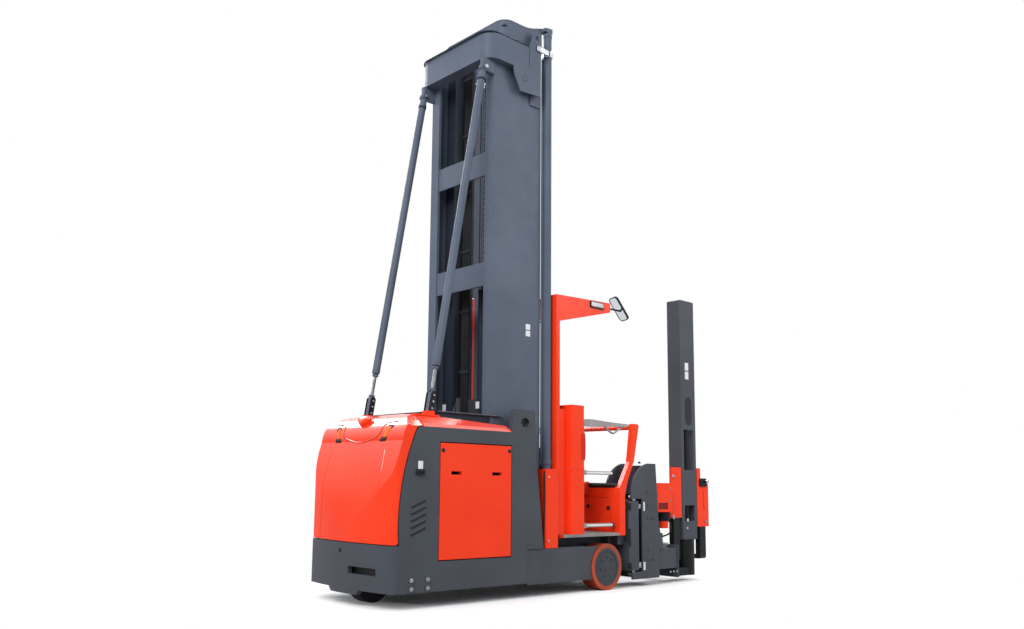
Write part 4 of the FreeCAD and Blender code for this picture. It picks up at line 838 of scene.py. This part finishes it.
def gate_details():
    """Top bars' hinge plates, bolts and drooping loops; lower bars' strips and caps; bracket bolts."""
    outer = -0.518
    low, high = corner("gate_bar_top_right")
    hinge = np.array([low[0], outer, (low[2] + high[2]) / 2])
    reach = high[0] - low[0]
    outline = [(0.0, -0.036), (0.1, -0.036), (0.42, -0.018), (reach + 0.02, -0.014), (reach + 0.06, -0.004),
               (reach + 0.06, 0.014), (0.36, 0.022), (0.12, 0.034), (0.05, 0.032), (0.0, 0.022)]
    plate = side_plate(outline, hinge + (0.002, 0, 0), 0.004)
    heads = [bolt(hinge + (dx, -0.004, dz), 0.0075)
             for dx, dz in ((0.03, 0.01), (0.03, -0.02), (0.08, 0.012), (0.08, -0.02))]
    droop = [(0.31, -0.012), (0.34, -0.04), (0.41, -0.075), (0.45, -0.072), (0.52, -0.034), (0.565, -0.012)]
    loop = tube(curve([hinge + (dx, 0.011, dz) for dx, dz in droop], 36), 0.0095)
    for side, keep in SIDES:
        bar = "gate_bar_top_" + side
        piece("gate_plate_" + side, [keep(plate)], pale_paint, bar)
        piece("gate_bolts_" + side, [keep(head) for head in heads], zinc, bar)
        piece("gate_loop_" + side, [keep(loop)], pale_paint, bar)
        for level in ("mid", "low"):
            low, high = corner(f"gate_bar_{level}_right")
            x, _, z = (low + high) / 2
            bar = f"gate_bar_{level}_{side}"
            strip = side_plate((high[0] - low[0] - 0.01, 0.016, 0.006), (x, outer, z), 0.003)
            piece(f"gate_strip_{level}_{side}", [keep(strip)], white_plate, bar)
            end = (high[0] - 0.014, outer + 0.011, z)
            cap = turned([(0, 0.021), (0.012, 0.021), (0.016, 0.016)], end, AHEAD, 20)
            piece(f"gate_cap_{level}_{side}", [keep(cap)], rubber, bar)
    bracket_low = corner("gate_brackets")[0]
    heads = []
    for level in ("low", "mid", "top"):
        low, high = corner(f"gate_bar_{level}_right")
        z = (low[2] + high[2]) / 2
        heads += [bolt((bracket_low[0] + 0.014, bracket_low[1], z + dz), 0.0065) for dz in (-0.012, 0.012)]
    pair("gate_bracket_bolts", heads, zinc, "cab")


def cylinder_cover_details():
    """Black lead clipped along the rear edge of each lift cylinder's cover, and the cover's screws."""
    low, high = corner("cylinder_feet")
    x, y = low[0] - 0.004, low[1] + 0.02
    line = curve([(x, y, high[2] - 0.02), (x - 0.008, y - 0.005, 0.85), (x, y, 0.7), (x - 0.01, y, 0.52),
                  (x, y + 0.01, 0.42)], 40)
    pair("cylinder_leads", [tube(line, 0.007, 10)], rubber)
    screws = [turned([(0, 0.01), (0.004, 0.01), (0.006, 0.006)], (low[0] + 0.03, low[1], z), sides=14)
              for z in (0.45, 0.98)]
    pair("cylinder_foot_screws", screws, zinc)


cab_mast_guides()
guard_lamps()
mirror_details()
desk_details()
wall_and_floor_details()
seat_details()
side_box_details()
gate_details()
cylinder_cover_details()


# -------- turret head
def carriage_details():
    """Blank strips, nub and bolts on the side-shift carriage's plate."""
    low, high = corner("traverse_carriage")
    y = low[1]
    strips = [side_plate((0.022, 0.084, 0.003), (0.892, y, 0.729), 0.0025),
              side_plate((0.028, 0.074, 0.003), (0.889, y, 0.1845), 0.0025)]
    piece("carriage_white_strips", strips, white_plate, "traverse")
    nub = turned([(0, 0.012), (0.012, 0.012), (0.02, 0.007)], (0.8545, y + 0.02, high[2] - 0.003), UP, 18)
    piece("carriage_nub", [nub], trim, "traverse")
    places = [(0.9525, z) for z in (0.24, 0.33, 0.62, 0.74, 0.86)] + [(1.0225, z) for z in (0.24, 0.62)]
    piece("carriage_bolts", [bolt((x, y, z), 0.012) for x, z in places], grey_paint, "traverse")


def traverse_frame_details():
    """Teeth of the rack along the traverse frame's top, and the stops and bolts at both its ends."""
    low, high = corner("traverse_frame")
    teeth = [top_plate((0.03, 0.011, 0.003), (high[0] - 0.05, y, high[2]), 0.008, 0.002)
             for y in low[1] + 0.06 + 0.03 * np.arange(34)]
    piece("traverse_rack_teeth", teeth, zinc, "cab")
    x = high[0] - 0.14
    stops = []
    for z in (low[2] + 0.04, high[2] - 0.05):
        stops.append(side_plate((0.05, 0.07, 0.008), (x, low[1], z), 0.006, 0.002))
        stops.append(bolt((x, low[1] - 0.006, z), 0.011))
    stops.append(side_plate((0.034, 0.16, 0.006), (x, low[1], 0.45), 0.005, 0.002))
    pair("traverse_stops", stops, black_paint, "cab")


def swivel_details():
    """Louvre bars, motor fins, hose, valve fittings and bolts of the swivel drive; foot beam's bolts."""
    low, high = corner("swivel_drive")
    motor_low, motor_high = corner("swivel_motor")
    valve_low, valve_high = corner("valve_block")
    foot_low, foot_high = corner("foot_beam")
    y = low[1] + 0.006
    bars = [tube(straight((low[0] + 0.078, y, z), (low[0] + 0.218, y, z + 0.002), 6), 0.003, 8)
            for z in 0.705 + 0.0125 * np.arange(5)]
    piece("swivel_louvres", bars, trim, "traverse")
    middle_z = (motor_low[2] + motor_high[2]) / 2
    fins = [side_plate((0.006, 0.07, 0.002), (x, motor_low[1] + 0.001, middle_z), 0.004)
            for x in motor_low[0] + 0.012 + 0.017 * np.arange(7)]
    piece("swivel_motor_fins", fins, black_paint, "traverse")
    y = motor_low[1] + 0.03
    x, z = motor_high[0], motor_low[2]
    hose = curve([(x - 0.01, y, z + 0.01), (x + 0.012, y - 0.01, z - 0.04), (x + 0.002, y, z - 0.12),
                  (valve_low[0] + 0.06, valve_low[1] + 0.03, valve_high[2] + 0.005)], 36)
    piece("swivel_hose", [tube(hose, 0.008)], rubber, "traverse")
    fittings = [turned([(0, 0.014), (0.014, 0.014), (0.016, 0.01), (tall, 0.01), (tall + 0.004, 0.013),
                        (tall + 0.014, 0.013), (tall + 0.017, 0.009)],
                       (valve_low[0] + dx, valve_low[1] + 0.03, valve_high[2] - 0.002), UP, 6)
                for dx, tall in ((0.03, 0.04), (0.075, 0.055), (0.12, 0.035))]
    fittings += [turned([(0, 0.012), (0.012, 0.012), (0.016, 0.008), (0.028, 0.008)],
                        valve_low + (dx, 0, 0.04), sides=16) for dx in (0.04, 0.1)]
    piece("valve_fittings", fittings, chrome, "traverse")
    heads = [bolt((x, low[1], z), 0.009) for x in (low[0] + 0.03, high[0] - 0.03) for z in (0.9, 0.78)]
    piece("swivel_bolts", heads, zinc, "traverse")
    heads = [bolt((foot_high[0] - 0.04 - 0.05 * k, foot_low[1], foot_low[2] + 0.06), 0.011) for k in range(3)]
    piece("foot_bolts", heads, zinc, "traverse")


def column_details():
    """Perforated slot, two bolts, lower sheet cover and blank plates of the fork column."""
    low = corner("column")[0]
    x, y = low[0] + 0.1305, low[1]
    slot = side_plate((0.105, 0.285, 0.05, 9), (x, y, 1.6795), 0.0022, 0.0006)
    piece("column_slot", [slot], trim, "column")
    holes = []
    for row in range(11):
        odd = row % 2
        for step in range(4 - odd):
            place = (x - 0.036 + 0.024 * (step + 0.5 * odd), y - 0.0021, 1.56 + 0.024 * row)
            holes.append(turned([(0, 0.0065), (0.0012, 0.006), (0.0016, 0.004)], place, sides=10))
    piece("column_slot_holes", holes, dark_paint, "column")
    bolt_x = low[0] + 0.075
    heads = [bolt((bolt_x, y, 0.589), 0.019, 0.014), bolt((bolt_x, y, 0.509), 0.012)]
    piece("column_bolts", heads, chrome, "column")
    lid = side_plate((0.236, 0.185, 0.03, 8), (low[0] + 0.123, y, 0.486), 0.0045, 0.002)
    piece("column_sheet_cover", [lid], grey_paint, "column")
    plates = [side_plate((0.06, 0.08, 0.003), (low[0] + 0.112, y, z), 0.002) for z in (2.135, 2.045)]
    piece("column_blank_plates", plates, white_plate, "column")


def carrier_details():
    """Latch with its knob, a recess and hole beside it drawn in darker orange as painted shade, and the
    cheek's bolts on the fork carrier.
    """
    low, high = corner("fork_carrier")
    y = low[1]
    latch = side_plate((0.12, 0.085, 0.02, 7), (1.975, y, 0.963), 0.016, 0.005)
    piece("fork_latch", [latch], black_paint, "fork_carriage")
    knob = turned([(0, 0.012), (0.014, 0.012), (0.018, 0.022), (0.03, 0.024), (0.036, 0.016)],
                  (2.0005, y - 0.015, 0.975), sides=24)
    piece("fork_latch_knob", [knob], chrome, "fork_carriage")
    marks = [side_plate((0.012, 0.17, 0.005), (1.9845, y, 0.79), 0.0015, 0.0005),
             turned([(0, 0.013), (0.001, 0.013), (0.002, 0.01)], (1.9975, y, 0.7), sides=20)]
    piece("carrier_recess_shades", marks, orange_seam_and_crease_shade, "fork_carriage")
    heads = [bolt((low[0] + 0.06, y, 1.02), 0.017, 0.012), ring((low[0] + 0.06, y, 0.62), 0.011, 0.02, 0.004),
             bolt((high[0] - 0.06, y, 0.57), 0.015, 0.01)]
    piece("carrier_bolts", heads, zinc, "fork_carriage")


carriage_details()
traverse_frame_details()
swivel_details()
column_details()
carrier_details()


# -------- legs and wheels
def leg_covers():
    """Plate on the outer face of each leg: a rectangle whose front edge is an arc around the load wheel."""
    leg_low, leg_high = corner("support_legs")
    tyre_low, tyre_high = corner("load_tyre_right")
    axle_x, axle_z = (tyre_low[0] + tyre_high[0]) / 2, (tyre_low[2] + tyre_high[2]) / 2
    running_gap = 0.007
    reach = (tyre_high[2] - tyre_low[2]) / 2 + running_gap
    rear, bottom, top = leg_low[0] + 0.003, leg_low[2] - 0.016, leg_high[2] - 0.003
    turn = np.linspace(math.asin((bottom - axle_z) / reach), math.asin((top - axle_z) / reach), 18)
    arc = np.column_stack([axle_x - reach * np.cos(turn), axle_z + reach * np.sin(turn)])
    outline = np.vstack([[(rear, bottom)], arc, [(rear, top)]])
    root_y = leg_low[1] + 0.0005
    plate = side_plate(outline, (0, root_y, 0), root_y - tyre_low[1] - running_gap, 0.002)
    pair("leg_covers", [plate], grey_paint)


def wheel_details():
    """Seven bolts, a hub cap and a rim ring on each load wheel's disc."""
    low, high = corner("load_hub_right")
    centre = np.array([(low[0] + high[0]) / 2, low[1], (low[2] + high[2]) / 2])
    reach = 0.62 * (high[2] - low[2]) / 2
    heads = [bolt(centre + (reach * math.cos(t), 0, reach * math.sin(t)), 0.011, 0.003)
             for t in math.pi / 2 + turns(7)]
    cap = turned([(0, 0.036), (0.002, 0.035), (0.0035, 0.028), (0.0038, 0.01)], centre, sides=32)
    rim = ring(centre, 0.136, 0.165, 0.0065)
    for side, keep in SIDES:
        wheel = "load_wheel_" + side
        piece("load_wheel_rim_" + side, [keep(rim)], hub_paint, wheel)
        piece("load_wheel_bolts_" + side, [keep(head) for head in heads], dark_paint, wheel)
        piece("load_wheel_cap_" + side, [keep(cap)], hub_paint, wheel)


leg_covers()
wheel_details()


# -------- floor, light and camera
def seen_factor(tree):
    """1 for what the camera sees directly, mirrored or through glass; 0 for light that falls on things."""
    path = tree.nodes.new("ShaderNodeLightPath")
    factor = path.outputs["Is Camera Ray"]
    for way in ("Is Glossy Ray", "Is Transmission Ray"):
        larger = tree.nodes.new("ShaderNodeMath")
        larger.operation = "MAXIMUM"
        tree.links.new(factor, larger.inputs[0])
        tree.links.new(path.outputs[way], larger.inputs[1])
        factor = larger.outputs[0]
    return factor


def floor_finish():
    """White studio floor: it takes the truck's shadow and runs out into plain white further off."""
    ground = Finish("pale_floor")
    ground.look(Roughness=0.9, Specular_IOR_Level=0.1)
    bounced, viewed = (0.3, 0.3, 0.3, 1.0), (0.98, 0.98, 0.98, 1.0)
    ground.look(Base_Color=ground.blend(seen_factor(ground.tree), bounced, viewed))
    span = cad_bounds[1][0] - cad_bounds[0][0]
    squeezed = ground.stretched((2.0 / span, 4.0 / span, 1.0))
    away = ground.node("ShaderNodeVectorMath", operation="LENGTH", Vector=squeezed)
    far = ground.spread(away.outputs["Value"], 0.0, 1.0, 0.8, 1.7)
    plain = ground.node("ShaderNodeEmission", Strength=1.0, Color=(1, 1, 1, 1))
    seen = ground.node("ShaderNodeMath", operation="MULTIPLY")
    ground.feed(seen.inputs[0], far)
    ground.feed(seen.inputs[1], seen_factor(ground.tree))
    mix = ground.node("ShaderNodeMixShader")
    for k, source in enumerate((seen, ground.shader, plain)):
        ground.feed(mix.inputs[k], source.outputs[0])
    ground.feed(ground.tree.nodes["Material Output"].inputs["Surface"], mix.outputs[0])
    return ground.material


def white_floor():
    """Floor on which the truck stands, wide enough to pass the picture's edges."""
    mesh = bpy.data.meshes.new("floor")
    reach = 60.0
    mesh.from_pydata([(-reach, -reach, 0), (reach, -reach, 0), (reach, reach, 0), (-reach, reach, 0)],
                     [], [(0, 1, 2, 3)])
    floor = bpy.data.objects.new("floor", mesh)
    bpy.context.collection.objects.link(floor)
    mesh.materials.append(floor_finish())


def sky():
    """Soft even sky that lights the truck, plain white where it is seen."""
    world = bpy.data.worlds.new("studio")
    world.use_nodes = True
    bpy.context.scene.world = world
    tree = world.node_tree
    mix = tree.nodes.new("ShaderNodeMixShader")
    tree.links.new(seen_factor(tree), mix.inputs[0])
    lit, seen = tree.nodes["Background"], tree.nodes.new("ShaderNodeBackground")
    looks = (lit, (0.93, 0.96, 1.0, 1), 0.68), (seen, (1, 1, 1, 1), 1.0)
    for k, (shade, colour, strength) in enumerate(looks):
        shade.inputs["Color"].default_value = colour
        shade.inputs["Strength"].default_value = strength
        tree.links.new(shade.outputs[0], mix.inputs[k + 1])
    tree.links.new(mix.outputs[0], tree.nodes["World Output"].inputs["Surface"])


def pose_matrix(right, up, back, place):
    """Matrix of a lamp or camera: its three axes and its place as columns."""
    return Matrix(np.vstack([np.column_stack([right, up, back, place]), (0, 0, 0, 1)]).tolist())


def lamps():
    """Square lamps: a broad key on the camera's side, a front fill, two that graze the upper faces."""
    for name, place, aim, size, watts in (
            ("key_lamp", (-10.5, -4.5, 9.0), (-0.8, 0, 1.9), 6.0, 1150.0),
            ("front_lamp", (5.5, -7.0, 6.0), (0.6, 0, 1.2), 5.0, 330.0),
            ("crest_lamp", (-2.2, 8.5, 8.2), (-1.6, 0, 1.2), 3.2, 420.0),
            ("top_lamp", (4.5, 1.2, 10.0), (-0.3, 0, 1.4), 3.4, 460.0)):
        light = bpy.data.lights.new(name, "AREA")
        light.size = size
        light.energy = watts
        lamp = bpy.data.objects.new(name, light)
        bpy.context.collection.objects.link(lamp)
        back = unit(np.subtract(place, aim))
        right = unit(np.cross(UP, back))
        lamp.matrix_world = pose_matrix(right, np.cross(back, right), back, place)


def camera():
    """Camera low behind the right rear corner, looking forwards and slightly up."""
    view = bpy.data.cameras.new("camera")
    view.sensor_width = 36.0
    view.lens = 31.29
    view.shift_x = 0.0499
    view.shift_y = 0.0461
    eye = bpy.data.objects.new("camera", view)
    bpy.context.collection.objects.link(eye)
    right = (0.7535729, -0.65717235, 0.01588655)
    up = (-0.09982156, -0.09051075, 0.99088014)
    back = (-0.64974113, -0.74828624, -0.13380642)
    eye.matrix_world = pose_matrix(right, up, back, (-5.9435, -5.785, 0.93))
    bpy.context.scene.camera = eye


white_floor()
sky()
lamps()
camera()
bpy.context.scene.view_settings.view_transform = "Standard"
